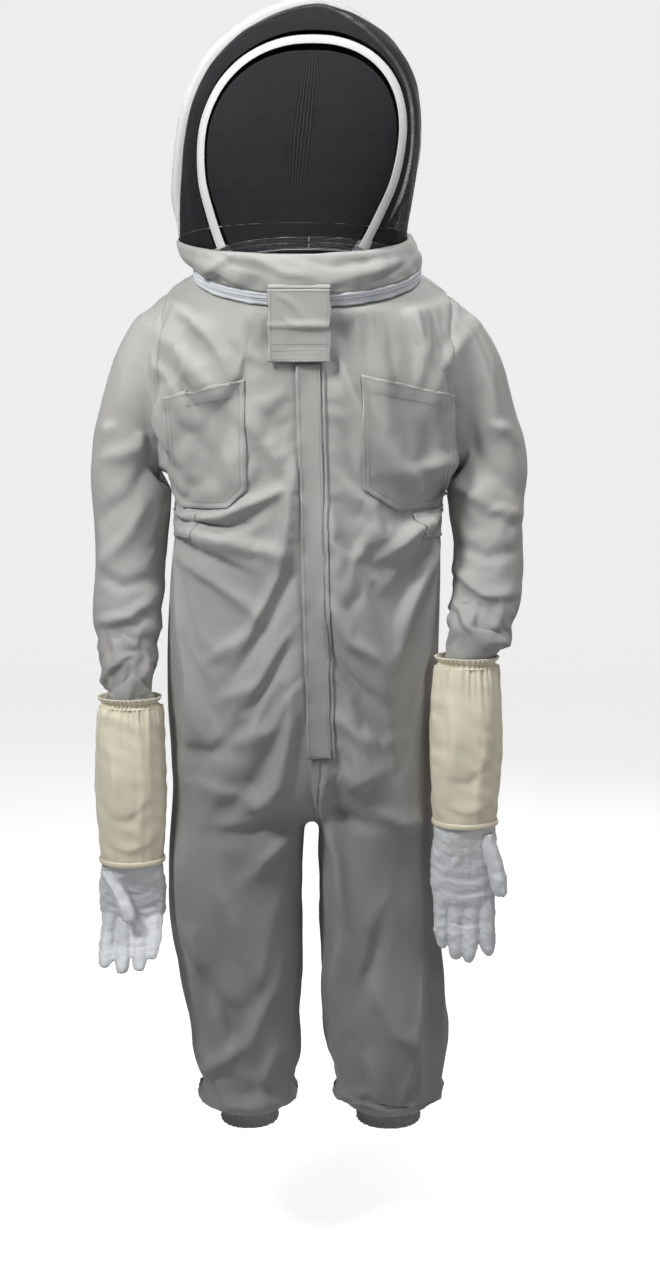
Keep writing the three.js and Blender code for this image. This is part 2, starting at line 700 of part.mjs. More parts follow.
function addThroatFlap() {
  const x0 = FLAP.x - FLAP.half;
  const x1 = FLAP.x + FLAP.half;
  add('throat_flap', flapSlab(x0, x1, FLAP.bottom, FLAP.top, 0, FLAP.wall), 'twill');
  const hook = flapSlab(FLAP.x - HOOK.half, FLAP.x + HOOK.half, HOOK.bottom, HOOK.top, -GAP - HOOK.wall, -GAP);
  add('flap_hook_patch', hook, 'hook');
  const seam = FLAP.top + GAP;
  const strap = flapSlab(x0, x1, seam, seam + FLAP.base, -FLAP.baseReach, FLAP.wall - GAP);
  const collar = grownSkin(carriedOn(bandRings, CLOTH * 4, CLOTH * 4), GAP);
  add('flap_base', strap.subtract(collar).intersect(box(-BIG, BIG, -BIG, -FLAP.baseInner, -BIG, BIG)), 'twill');
  const suitSkin = grownSkin(torsoRings, GAP);
  const behind = -2 * GAP - HOOK.wall;
  const clearHook = flapSlab(-BIG, BIG, HOOK.bottom - HOOK.margin, HOOK.top + HOOK.margin, -BIG, behind);
  const loops = [
    ['left', FLAP.x - LOOP.outer, -LOOP.inner],
    ['right', LOOP.inner, FLAP.x + LOOP.outer],
  ];
  loops.forEach(([side, a, b]) => {
    const block = box(a, b, -depth - CLOTH * 3, -depth + CLOTH * 6, HOOK.bottom, HOOK.top);
    add(`loop_patch_${side}`, block.subtract(suitSkin).intersect(clearHook), 'hook');
  });
}

// --- Gloves -----------------------------------------------------------------------------------

// Each glove: where the wrist seam is, which way the thumb points, and how far the fingers curl.
const GLOVES = [
  { side: 'left', wrist: [-262, -70, -794], out: -1, palm: 78, curlDeg: 42, thumb: [30, -26, -62] },
  { side: 'right', wrist: [232, -92, -731], out: 1, palm: 112, curlDeg: 2, thumb: [22, -4, -84] },
];
const ACROSS = new THREE.Vector3(1, 0, 0);
// Palm rings: [share of the palm below the wrist, half width, half depth].
const PALM = [
  [0, 44, 40],
  [0.25, 46, 34],
  [0.5, 49, 26],
  [0.8, 49, 20],
  [1.0, 47, 16],
  [1.12, 40, 10],
];
const PALM_SQUARE = 2.2;
const THUMB = {
  root: [30, -22, -20],
  radius: 14,
  sizes: [
    [0, 0.9],
    [0.3, 1],
    [0.7, 0.95],
    [0.92, 0.75],
    [1, 0.4],
  ],
};
const HAND_REACH = 80; // clear of a palm on every side
const SPLIT = { above: 50, reach: 300, side: 200 }; // the outline that parts a hand's front from its back
const SLAB_REACH = 100; // clear of a hand and its thumb on both sides
const FINGERS = [
  { x: -34, length: 78, radius: 11 },
  { x: -11.5, length: 96, radius: 12 },
  { x: 11.5, length: 100, radius: 12 },
  { x: 34, length: 90, radius: 12 },
];
const LEATHER = 2;

function gauntletRings([x, y, z]) {
  const rows = [
    [1, 0.89, -6],
    [0.93, 0.95, -4],
    [0.72, 1.02, -2],
    [0.45, 1.06, 0],
    [0.2, 1.0, 0],
    [0, 0.9, 0],
  ];
  return rows.map(([share, size]) => {
    const wide = size * GAUNTLET_RADIUS;
    return flatRing({ x, y, z: z + share * GAUNTLET_LENGTH, a: wide, front: wide * 0.94 }, SLEEVE_FACETS);
  });
}

// Stations down a finger from its root, bent by the curl.
function fingerStations(root, length, radius, curl) {
  const along = new THREE.Vector3(0, -Math.sin(curl), -Math.cos(curl));
  return [[-0.3, 0.98], [0.1, 1], [0.6, 0.98], [0.85, 0.86], [0.96, 0.6], [1, 0.3]].map(([share, size]) => ({
    at: root.clone().addScaledVector(along, share * length).toArray(),
    wide: radius * size,
    deep: radius * size,
  }));
}

function handSkins(glove, grow) {
  const [x, y, z] = glove.wrist;
  const k = HAND_SCALE;
  const palm = PALM.map(([share, wide, deep]) => {
    const ring = { x, y, z: z - GAP - share * glove.palm, a: wide * k, front: deep * k, square: PALM_SQUARE };
    return flatRing(ring, PALM_FACETS);
  });
  const start = grow < 0 ? CLOTH * 6 : 0;
  const parts = [grownSkin(carriedOn(palm, start, 0), grow)];
  const curl = THREE.MathUtils.degToRad(glove.curlDeg);
  FINGERS.forEach((finger) => {
    const root = new THREE.Vector3(x + finger.x * glove.out * k, y, z - glove.palm);
    const stations = fingerStations(root, finger.length * k, finger.radius * k, curl);
    parts.push(grownSkin(pathRings(stations, ACROSS, FINGER_FACETS), grow));
  });
  return parts.reduce((sum, part) => sum.add(part));
}

function thumbRings(glove) {
  const [x, y, z] = glove.wrist;
  const k = HAND_SCALE;
  const root = new THREE.Vector3(x + glove.out * THUMB.root[0] * k, y + THUMB.root[1] * k, z + THUMB.root[2] * k);
  const [dx, dy, dz] = glove.thumb;
  const along = new THREE.Vector3(-glove.out * dx, dy, dz).multiplyScalar(k);
  if (glove.side === 'right') {
    along.x = -along.x;
  }
  const stations = THUMB.sizes.map(([share, size]) => ({
    at: root.clone().addScaledVector(along, share).toArray(),
    wide: THUMB.radius * size * k,
    deep: THUMB.radius * size * k,
  }));
  return pathRings(stations, ACROSS, FINGER_FACETS);
}

function addGlove(glove) {
  const rings = gauntletRings(glove.wrist);
  const { side } = glove;
  const [x, y, z] = glove.wrist;
  add(`gauntlet_${side}`, sleeveOf(rings, CLOTH), 'canvas');
  const mouth = rings[0];
  const lift = (ring, by) => ring.map((p) => p.clone().setZ(p.z + by));
  const elastic = [lift(mouth, GAP + GLOVE_ELASTIC.height), lift(mouth, GAP)];
  const arm = sleeves[side === 'left' ? 0 : 1];
  const wide = arm.at(-3)[0].distanceTo(middleOf(arm.at(-3))) + GLOVE_ELASTIC.grip;
  const room = [mouth, rings.at(-1)].map((ring) => {
    const above = ring[0].z + GLOVE_ELASTIC.roomAbove;
    return flatRing({ x, y, z: above, a: wide, front: wide * GLOVE_ELASTIC.roomDeep }, SLEEVE_FACETS);
  });
  const held = endTrim(elastic, GLOVE_ELASTIC.stand).subtract(grownSkin(arm, GLOVE_ELASTIC.grip));
  add(`gauntlet_elastic_${side}`, held.subtract(toSolid(skin(room))), 'canvas');
  const seam = [lift(rings[rings.length - 1], WRIST_BINDING.height), rings[rings.length - 1]];
  const binding = sleeveOf(seam, -GAP - CLOTH / 2, GAP + WRIST_BINDING.wall);
  add(`wrist_binding_${side}`, binding.subtract(endTrim(rings, GAP)), 'canvas');
  const leather = handSkins(glove, 0).subtract(handSkins(glove, -LEATHER));
  const clear = HAND_REACH;
  const mouthCut = box(x - clear, x + clear, y - clear, y + clear, z - GAP, z + clear);
  const hand = leather.subtract(mouthCut);
  const thumbOuter = thumbRings(glove);
  const thumb = toSolid(skin(thumbOuter)).subtract(grownSkin(thumbOuter, -LEATHER));
  const handClear = handSkins(glove, GAP);
  const thumbHole = grownSkin(thumbOuter, GAP);
  add(`thumb_${side}`, thumb.subtract(handClear), 'leather');
  const curl = THREE.MathUtils.degToRad(glove.curlDeg);
  const knuckle = [y, z - glove.palm];
  const tip = [knuckle[0] - Math.sin(curl) * SPLIT.reach, knuckle[1] - Math.cos(curl) * SPLIT.reach];
  const path = [[y, z + SPLIT.above], knuckle, tip];
  const frontSide = [...path, [tip[0] - SPLIT.side, tip[1]], [y - SPLIT.side, z + SPLIT.above]];
  const backSide = [...path, [tip[0] + SPLIT.side, tip[1]], [y + SPLIT.side, z + SPLIT.above]];
  const cut = hand.subtract(thumbHole);
  add(`glove_front_${side}`, cut.intersect(sideSlab(frontSide, x, -GAP / 2)), 'leather');
  add(`glove_back_${side}`, cut.intersect(sideSlab(backSide, x, GAP / 2)), 'leather');
}

// A block across x from an outline in the YZ plane, moved along y by shift.
function sideSlab(outline, x, shift) {
  const shape = new THREE.Shape(outline.map(([y, z]) => new THREE.Vector2(y + shift, z)));
  const start = x - SLAB_REACH;
  const geometry = new THREE.ExtrudeGeometry(shape, { depth: 2 * SLAB_REACH, bevelEnabled: false });
  geometry.applyMatrix4(new THREE.Matrix4().set(0, 0, 1, start, 1, 0, 0, 0, 0, 1, 0, 0, 0, 0, 0, 1));
  return toSolid(geometry);
}

addCoverall();
addSleeves();
addElastics();
addPockets();
addFrontClosure();
addNeckZips();
addHood();
addCollar();
addThroatFlap();
GLOVES.forEach(addGlove);

export default suit;
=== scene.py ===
"""A beekeeping suit: a one-piece coverall, a zip-on hooped veil and a pair of gauntlet gloves.

Everything is in metres in the part's own frame: +Z is up, the front faces -Y, and the origin is the
middle of the neck opening at the height of the shoulders. "left" is the -X side, seen from the front.
"""
import logging
import math
from collections.abc import Callable, Sequence
from dataclasses import dataclass, field
from enum import Enum

import bmesh
import bpy
import numpy as np
from mathutils import Matrix, Vector
from mathutils.bvhtree import BVHTree
from numpy.typing import NDArray


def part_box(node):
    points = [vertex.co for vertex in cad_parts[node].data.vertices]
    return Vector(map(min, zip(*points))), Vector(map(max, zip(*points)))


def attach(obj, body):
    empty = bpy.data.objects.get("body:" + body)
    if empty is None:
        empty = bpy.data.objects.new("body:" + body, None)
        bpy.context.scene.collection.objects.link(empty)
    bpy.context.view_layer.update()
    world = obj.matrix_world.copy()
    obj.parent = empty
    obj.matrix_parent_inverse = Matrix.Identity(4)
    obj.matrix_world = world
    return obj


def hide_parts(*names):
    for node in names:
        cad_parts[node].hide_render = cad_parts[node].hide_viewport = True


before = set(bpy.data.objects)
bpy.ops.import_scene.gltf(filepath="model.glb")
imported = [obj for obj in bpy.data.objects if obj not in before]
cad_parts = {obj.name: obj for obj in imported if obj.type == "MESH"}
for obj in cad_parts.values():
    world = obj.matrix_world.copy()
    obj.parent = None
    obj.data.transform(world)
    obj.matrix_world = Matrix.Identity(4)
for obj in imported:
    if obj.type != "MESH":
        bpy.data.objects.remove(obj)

Points = NDArray[np.float64]
Faces = list[tuple[int, ...]]
Color = tuple[float, float, float]

log = logging.getLogger("beekeeping_suit")

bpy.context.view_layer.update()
NECK_TILT = math.radians(18.0)
NECK_SLOPE = math.tan(NECK_TILT)
NECK_RADIUS = 0.165
NECK_Z = 0.075
FRONT_LEAN = math.radians(1.6)
WAIST_Z = -0.292
FLOOR_Z = -1.43


class Side(Enum):
    """The two sides of the suit, seen from the front."""

    LEFT = -1
    RIGHT = 1

    @property
    def word(self) -> str:
        """The side's name as it stands in the CAD nodes."""
        return self.name.lower()


# --- Mesh work ------------------------------------------------------------------------------------


def smooth(value: Points | float, low: float, high: float) -> Points:
    """Ease from 0 to 1 between two limits.

    Args:
        value: What is measured.
        low: Where the ease starts.
        high: Where it ends.

    Returns:
        The eased share, from 0 to 1.
    """
    share = np.clip((np.asarray(value) - low) / (high - low), 0.0, 1.0)
    return share * share * (3.0 - 2.0 * share)


def eased(rows: Sequence[Sequence[float]], steps: int) -> Points:
    """Fill a table of stations with evenly eased ones between its rows.

    Args:
        rows: The stations, a row of numbers each.
        steps: How many steps each gap between two rows gets.

    Returns:
        The longer table.
    """
    table = np.array(rows, float)
    padded = np.vstack([2 * table[0] - table[1], table, 2 * table[-1] - table[-2]])
    filled = []
    for i in range(len(table) - 1):
        a, b, c, d = padded[i : i + 4]
        for t in np.arange(steps) / steps:
            filled.append(
                0.5 * (
                    2 * b + (c - a) * t + (2 * a - 5 * b + 4 * c - d) * t**2 + (3 * b - a - 3 * c + d) * t**3
                )
            )
    return np.vstack([*filled, table[-1]])


def oval(row: Points, count: int) -> Points:
    """Make one ring round +Z.

    Args:
        row: Centre x, y and z, half width, front depth, back depth, slope in y, squareness.
        count: The points in the ring.

    Returns:
        The ring's points, from +X round through +Y.
    """
    x, y, z, half, front, back, slope, square = row
    turn = np.linspace(0, 2 * np.pi, count, endpoint=False)
    c, s = np.cos(turn), np.sin(turn)
    across = np.sign(c) * np.abs(c) ** (2 / square)
    along = np.sign(s) * np.abs(s) ** (2 / square)
    run = along * np.where(along < 0, front, back)
    return np.stack([x + half * across, y + run, z + slope * (y + run)], axis=1)


def path_rings(stations: Points, side: Points, count: int) -> Points:
    """Make rings square to a bent path.

    Args:
        stations: Rows of centre x, y, z, half width and half depth.
        side: The direction that every ring keeps.
        count: The points in a ring.

    Returns:
        Rings of points, one a station.
    """
    centres = stations[:, :3]
    along = np.gradient(centres, axis=0)
    along /= np.linalg.norm(along, axis=1, keepdims=True)
    across = np.cross(side, along)
    across /= np.linalg.norm(across, axis=1, keepdims=True)
    turn = np.linspace(0, 2 * np.pi, count, endpoint=False)
    wide = stations[:, 3, None, None] * np.cos(turn)[None, :, None] * across[:, None, :]
    deep = stations[:, 4, None, None] * np.sin(turn)[None, :, None] * side[None, None, :]
    return centres[:, None, :] + wide + deep


def grid_faces(rows: int, columns: int, closed: bool) -> Faces:
    """List the four-sided faces of a grid of points.

    Args:
        rows: The rows of points.
        columns: The points in a row.
        closed: Whether each row joins round on itself.

    Returns:
        The faces, by point number.
    """
    last = columns if closed else columns - 1
    faces = []
    for i in range(rows - 1):
        for j in range(last):
            k = (j + 1) % columns
            faces.append((i * columns + j, i * columns + k, (i + 1) * columns + k, (i + 1) * columns + j))
    return faces


def tube(rings: Points, capped: bool = True) -> tuple[Points, Faces]:
    """Make the skin over a run of rings.

    Args:
        rings: Rings of points.
        capped: Whether both ends are shut.

    Returns:
        Its points and faces.
    """
    rows, count = rings.shape[:2]
    faces = grid_faces(rows, count, True)
    if capped:
        faces.append(tuple(range(count - 1, -1, -1)))
        faces.append(tuple(range((rows - 1) * count, rows * count)))
    return rings.reshape(-1, 3), faces


def merged(parts: Sequence[tuple[Points, Faces]]) -> tuple[Points, Faces]:
    """Put several meshes' points and faces into one list of each.

    Args:
        parts: The meshes.

    Returns:
        All their points and faces.
    """
    points, faces, start = [], [], 0
    for part_points, part_faces in parts:
        points.append(part_points)
        faces.extend(tuple(i + start for i in face) for face in part_faces)
        start += len(part_points)
    return np.vstack(points), faces


def make_piece(
    name: str, points: Points, faces: Faces, material: bpy.types.Material | None = None
) -> bpy.types.Object:
    """Make a mesh object with its place in its mesh.

    Args:
        name: The piece's name.
        points: Its points.
        faces: Its faces.
        material: Its finish.

    Returns:
        The object, linked to the scene.
    """
    mesh = bpy.data.meshes.new(name)
    mesh.from_pydata(np.asarray(points).tolist(), [], faces)
    mesh.update()
    mesh.shade_smooth()
    piece = bpy.data.objects.new(name, mesh)
    bpy.context.scene.collection.objects.link(piece)
    if material is not None:
        mesh.materials.append(material)
    return piece


def face_out(piece: bpy.types.Object) -> None:
    """Turn every face of a mesh outwards."""
    work = bmesh.new()
    work.from_mesh(piece.data)
    bmesh.ops.recalc_face_normals(work, faces=work.faces)
    work.to_mesh(piece.data)
    work.free()


def places(piece: bpy.types.Object) -> Points:
    """The piece's points as an array."""
    flat = np.empty(len(piece.data.vertices) * 3, np.float32)
    piece.data.vertices.foreach_get("co", flat)
    return flat.reshape(-1, 3).astype(float)


def put_places(piece: bpy.types.Object, points: Points) -> None:
    """Move the piece's points to new places."""
    piece.data.vertices.foreach_set("co", np.asarray(points, np.float32).ravel())
    piece.data.update()


def point_normals(piece: bpy.types.Object) -> Points:
    """The directions that the piece's points face."""
    flat = np.empty(len(piece.data.vertices) * 3, np.float32)
    piece.data.vertex_normals.foreach_get("vector", flat)
    return flat.reshape(-1, 3).astype(float)


def baked(piece: bpy.types.Object) -> bpy.types.Object:
    """Apply every modifier on a piece for good.

    Args:
        piece: The piece with its modifiers.

    Returns:
        The same piece, as a plain mesh.
    """
    depsgraph = bpy.context.evaluated_depsgraph_get()
    mesh = bpy.data.meshes.new_from_object(piece.evaluated_get(depsgraph), depsgraph=depsgraph)
    old = piece.data
    piece.modifiers.clear()
    piece.data = mesh
    bpy.data.meshes.remove(old)
    piece.data.shade_smooth()
    return piece


def one_skin(name: str, parts: Sequence[tuple[Points, Faces]], voxel: float, passes: int) -> bpy.types.Object:
    """Melt overlapping closed shapes into one even skin.

    Args:
        name: The new mesh's name.
        parts: The closed shapes.
        voxel: The size of its faces.
        passes: How many times it is smoothed.

    Returns:
        The melted mesh.
    """
    points, faces = merged(parts)
    piece = make_piece(name, points, faces)
    face_out(piece)
    melt = piece.modifiers.new("melt", "REMESH")
    melt.mode = "VOXEL"
    melt.voxel_size = voxel
    baked(piece)
    put_places(piece, relaxed(piece, places(piece), passes))
    return piece


def edge_list(piece: bpy.types.Object) -> NDArray[np.int64]:
    """The piece's edges as pairs of point numbers."""
    flat = np.empty(len(piece.data.edges) * 2, np.int32)
    piece.data.edges.foreach_get("vertices", flat)
    return flat.reshape(-1, 2).astype(np.int64)


def relaxed(piece: bpy.types.Object, values: Points, passes: int, hold: Points | None = None) -> Points:
    """Even out values over a mesh, each point towards its neighbours' mean.

    Args:
        piece: The mesh.
        values: A row of numbers for each point.
        passes: How many times.
        hold: A share from 0, free, to 1, held, for each point.

    Returns:
        The evened values.
    """
    edges = edge_list(piece)
    count = len(values)
    joined = np.bincount(edges.ravel(), minlength=count).clip(1)[:, None]
    free = 0.5 if hold is None else 0.5 * (1.0 - hold)[:, None]
    for _ in range(passes):
        total = np.zeros_like(values)
        for axis in range(values.shape[1]):
            total[:, axis] = np.bincount(edges[:, 0], values[edges[:, 1], axis], count)
            total[:, axis] += np.bincount(edges[:, 1], values[edges[:, 0], axis], count)
        values = values + free * (total / joined - values)
    return values


def thicken(
    piece: bpy.types.Object, wall: float, inner: bpy.types.Material | None = None
) -> bpy.types.Object:
    """Give a sheet its thickness, inwards from its face.

    Args:
        piece: The sheet.
        wall: Its thickness.
        inner: The finish of its inner face, where that differs.

    Returns:
        The same piece.
    """
    solid = piece.modifiers.new("wall", "SOLIDIFY")
    solid.thickness = wall
    solid.offset = -1.0
    if inner is not None:
        piece.data.materials.append(inner)
        solid.material_offset = 1
    return piece


def ripples(points: Points, seed: int, size: float, count: int = 14) -> Points:
    """Make a soft uneven swell over space, with a fixed seed.

    Args:
        points: Where it is wanted.
        seed: The seed.
        size: The usual length of a wave.
        count: How many waves are added up.

    Returns:
        A value for each point, mostly from -1 to 1.
    """
    source = np.random.default_rng(seed)
    waves = source.normal(size=(count, 3))
    waves /= np.linalg.norm(waves, axis=1, keepdims=True)
    waves *= 2 * np.pi / (size * source.uniform(0.7, 1.5, (count, 1)))
    shift = source.uniform(0, 2 * np.pi, count)
    return np.sin(points @ waves.T + shift).sum(axis=1) / math.sqrt(count)


def dress(piece: bpy.types.Object, body: str, slot: str, *nodes: str) -> bpy.types.Object:
    """Tie a finished piece to its body and hide the CAD nodes that it stands for.

    Args:
        piece: The piece.
        body: The body that it moves with.
        slot: The record's material slot; it is not used.
        nodes: The CAD nodes that it stands for.

    Returns:
        The same piece.
    """
    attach(piece, body)
    if nodes:
        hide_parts(*nodes)
    log.info("%s rides on %s with %d faces", piece.name, body, len(piece.data.polygons))
    return piece


# --- Finishes -------------------------------------------------------------------------------------


class Wiring:
    """Adds and joins the nodes of one shader tree."""

    def __init__(self, tree: bpy.types.NodeTree) -> None:
        """Start on a tree."""
        self.tree = tree

    def add(
        self, kind: str, inputs: dict[str | int, object] | None = None, **settings: object
    ) -> bpy.types.Node:
        """Add a node.

        Args:
            kind: Blender's name for the node.
            inputs: What goes in each socket, as a number or as another node's socket.
            settings: The node's own settings.

        Returns:
            The new node.
        """
        node = self.tree.nodes.new(kind)
        for name, value in settings.items():
            setattr(node, name, value)
        for key, value in (inputs or {}).items():
            if isinstance(value, bpy.types.NodeSocket):
                self.tree.links.new(value, node.inputs[key])
            else:
                node.inputs[key].default_value = value
        return node

    def math(
        self, operation: str, first: object, second: object = 0.0, third: object = 0.0
    ) -> bpy.types.NodeSocket:
        """Add a sum of two or three numbers.

        Args:
            operation: Blender's name for the sum.
            first: The first number or socket.
            second: The second.
            third: The third.

        Returns:
            The result's socket.
        """
        return self.add("ShaderNodeMath", {0: first, 1: second, 2: third}, operation=operation).outputs[0]

    def blend(self, share: object, first: object, second: object) -> bpy.types.NodeSocket:
        """Mix two colours.

        Args:
            share: How much of the second there is.
            first: The first colour.
            second: The second colour.

        Returns:
            The mixed colour's socket.
        """
        node = self.add("ShaderNodeMix", {"Factor": share}, data_type="RGBA")
        for index, value in ((6, first), (7, second)):
            if isinstance(value, bpy.types.NodeSocket):
                self.tree.links.new(value, node.inputs[index])
            else:
                node.inputs[index].default_value = (*value, 1.0)
        return node.outputs[2]


def shader_group(
    name: str, inputs: dict[str, float], outputs: Sequence[str]
) -> tuple[bpy.types.NodeTree, Wiring]:
    """Start a shared shader group.

    Args:
        name: The group's name.
        inputs: Its number inputs and their usual values, besides Place.
        outputs: Its number outputs.

    Returns:
        The group and the means to wire it.
    """
    group = bpy.data.node_groups.new(name, "ShaderNodeTree")
    group.interface.new_socket("Place", in_out="INPUT", socket_type="NodeSocketVector")
    for label, value in inputs.items():
        socket = group.interface.new_socket(label, in_out="INPUT", socket_type="NodeSocketFloat")
        socket.default_value = value
    for label in outputs:
        group.interface.new_socket(label, in_out="OUTPUT", socket_type="NodeSocketFloat")
    return group, Wiring(group)


def weave_group() -> bpy.types.NodeTree:
    """Build the weave that every cloth shares.

    Returns:
        A group that puts out the threads' height, from 0 to 1.
    """
    group, wire = shader_group("weave", {"Pitch": 0.001, "Twill": 1.0}, ["Height"])
    given = wire.add("NodeGroupInput").outputs
    spot = wire.add("ShaderNodeSeparateXYZ", {0: given["Place"]}).outputs
    turns = wire.math("DIVIDE", 2 * math.pi, given["Pitch"])
    round_body = wire.math("MULTIPLY_ADD", spot[1], 0.8, spot[0])
    warp = wire.math("SINE", wire.math("MULTIPLY", round_body, turns))
    weft = wire.math("SINE", wire.math("MULTIPLY", spot[2], turns))
    plain = wire.math("MULTIPLY", warp, weft)
    ribs = wire.math("SINE", wire.math("MULTIPLY", wire.math("ADD", round_body, spot[2]), turns))
    mixed = wire.math("ADD", wire.math("MULTIPLY", wire.math("SUBTRACT", ribs, plain), given["Twill"]), plain)
    height = wire.math("MULTIPLY_ADD", mixed, 0.5, 0.5)
    wire.add("NodeGroupOutput", {"Height": height})
    return group


def mottle_group() -> bpy.types.NodeTree:
    """Build the slow unevenness of colour that every finish shares.

    Returns:
        A group that puts out a broad and a fine shade, from 0 to 1.
    """
    group, wire = shader_group("mottle", {"Broad": 6.0, "Fine": 90.0}, ["Broad", "Fine"])
    given = wire.add("NodeGroupInput").outputs
    broad = wire.add("ShaderNodeTexNoise", {"Vector": given["Place"], "Scale": given["Broad"], "Detail": 3.0})
    fine = wire.add("ShaderNodeTexNoise", {"Vector": given["Place"], "Scale": given["Fine"], "Detail": 4.0})
    wire.add("NodeGroupOutput", {"Broad": broad.outputs[0], "Fine": fine.outputs[0]})
    return group


def wear_group() -> bpy.types.NodeTree:
    """Build the painted shade that darkens a finish lower down, unevenly in patches.

    Returns:
        A group that puts out a mask, from 0 to 1.
    """
    group, wire = shader_group("wear", {"Top": 0.0, "Bottom": -1.2, "Patch": 9.0}, ["Mask"])
    given = wire.add("NodeGroupInput").outputs
    spot = wire.add("ShaderNodeSeparateXYZ", {0: given["Place"]}).outputs
    # Painted shade: the mask grows from 0 at Top to 1 at Bottom, so lower parts take the darker colour.
    fall = wire.add(
        "ShaderNodeMapRange", {
            0: spot[2], 1: given["Top"], 2: given["Bottom"]
        }, interpolation_type="SMOOTHSTEP"
    ).outputs[0]
    patch = wire.add("ShaderNodeTexNoise", {"Vector": given["Place"], "Scale": given["Patch"], "Detail": 5.0})
    uneven = wire.math("MULTIPLY_ADD", patch.outputs[0], 0.5, 0.75)
    wire.add("NodeGroupOutput", {"Mask": wire.math("MULTIPLY", fall, uneven)})
    return group


@dataclass(frozen=True)
class Groups:
    """The shader groups that the finishes share."""

    weave: bpy.types.NodeTree = field(default_factory=weave_group)
    mottle: bpy.types.NodeTree = field(default_factory=mottle_group)
    wear: bpy.types.NodeTree = field(default_factory=wear_group)


@dataclass(frozen=True)
class Finish:
    """One finish: its colours, its surface and the painted shade that darkens it lower down."""

    name: str
    colour: Color
    # The colour that painted shade brings in lower down, between the heights top and bottom.
    low_colour: Color
    fleck: Color
    top: float = 0.0
    bottom: float = -1.2
    roughness: float = 0.8
    uneven: float = 0.12
    pitch: float = 0.0011
    twill: float = 1.0
    weave_depth: float = 0.00012
    grain: float = 90.0
    grain_depth: float = 0.0
    sheen: float = 0.15
    metallic: float = 0.0
    openness: float = 0.0

    def material(self, groups: Groups) -> bpy.types.Material:
        """Build the finish.

        Args:
            groups: The shared shader groups.

        Returns:
            The material.
        """
        material = bpy.data.materials.new(self.name)
        material.use_nodes = True
        wire = Wiring(material.node_tree)
        surface = material.node_tree.nodes["Principled BSDF"]
        place = wire.add("ShaderNodeTexCoord").outputs["Object"]
        mottle = self._shared(wire, groups.mottle, {"Place": place, "Broad": 7.0, "Fine": self.grain})
        wear = self._shared(wire, groups.wear, {"Place": place, "Top": self.top, "Bottom": self.bottom})
        weave = self._shared(wire, groups.weave, {"Place": place, "Pitch": self.pitch, "Twill": self.twill})
        # Painted shade: the colour turns towards the low colour lower down, unevenly in patches.
        body = wire.blend(wear.outputs["Mask"], self.colour, self.low_colour)
        broad = wire.math("MULTIPLY_ADD", mottle.outputs["Broad"], self.uneven * 2, 0.5 - self.uneven)
        flecked = wire.blend(broad, body, self.fleck)
        threads = wire.math("MULTIPLY_ADD", weave.outputs["Height"], 0.16, 0.84)
        shaded = wire.add("ShaderNodeVectorMath", {0: flecked, 1: threads}, operation="MULTIPLY")
        wire.tree.links.new(shaded.outputs[0], surface.inputs["Base Color"])
        rough = wire.math("MULTIPLY_ADD", mottle.outputs["Fine"], 0.16, self.roughness - 0.08)
        wire.tree.links.new(rough, surface.inputs["Roughness"])
        relief = wire.math("MULTIPLY", weave.outputs["Height"], self.weave_depth)
        height = wire.math("MULTIPLY_ADD", mottle.outputs["Fine"], self.grain_depth, relief)
        bump = wire.add("ShaderNodeBump", {"Height": height, "Distance": 1.0, "Strength": 0.8})
        wire.tree.links.new(bump.outputs[0], surface.inputs["Normal"])
        surface.inputs["Sheen Weight"].default_value = self.sheen
        surface.inputs["Sheen Roughness"].default_value = 0.45
        surface.inputs["Metallic"].default_value = self.metallic
        surface.inputs["Specular IOR Level"].default_value = 0.5 if self.metallic else 0.3
        if self.openness:
            wire.tree.links.new(self._net(wire), surface.inputs["Alpha"])
        return material

    @staticmethod
    def _shared(wire: Wiring, group: bpy.types.NodeTree, inputs: dict[str, object]) -> bpy.types.Node:
        """Place a shared group with this finish's own values.

        Args:
            wire: The material's wiring.
            group: The group.
            inputs: Its values.

        Returns:
            The group's node.
        """
        node = wire.add("ShaderNodeGroup", node_tree=group)
        for label, value in inputs.items():
            if isinstance(value, bpy.types.NodeSocket):
                wire.tree.links.new(value, node.inputs[label])
            else:
                node.inputs[label].default_value = value
        return node

    def _net(self, wire: Wiring) -> bpy.types.NodeSocket:
        """Cut the holes of a net, square to the cloth's own length and width.

        Args:
            wire: The material's wiring.

        Returns:
            The socket of the opacity, 1 on a thread and 0 in a hole.
        """
        spread = wire.add("ShaderNodeUVMap", uv_map="cloth").outputs[0]
        spot = wire.add("ShaderNodeSeparateXYZ", {0: spread}).outputs
        rows = []
        for axis in (0, 1):
            share = wire.math("FRACT", wire.math("DIVIDE", spot[axis], self.pitch))
            rows.append(wire.math("GREATER_THAN", share, self.openness))
        return wire.math("MAXIMUM", rows[0], rows[1])


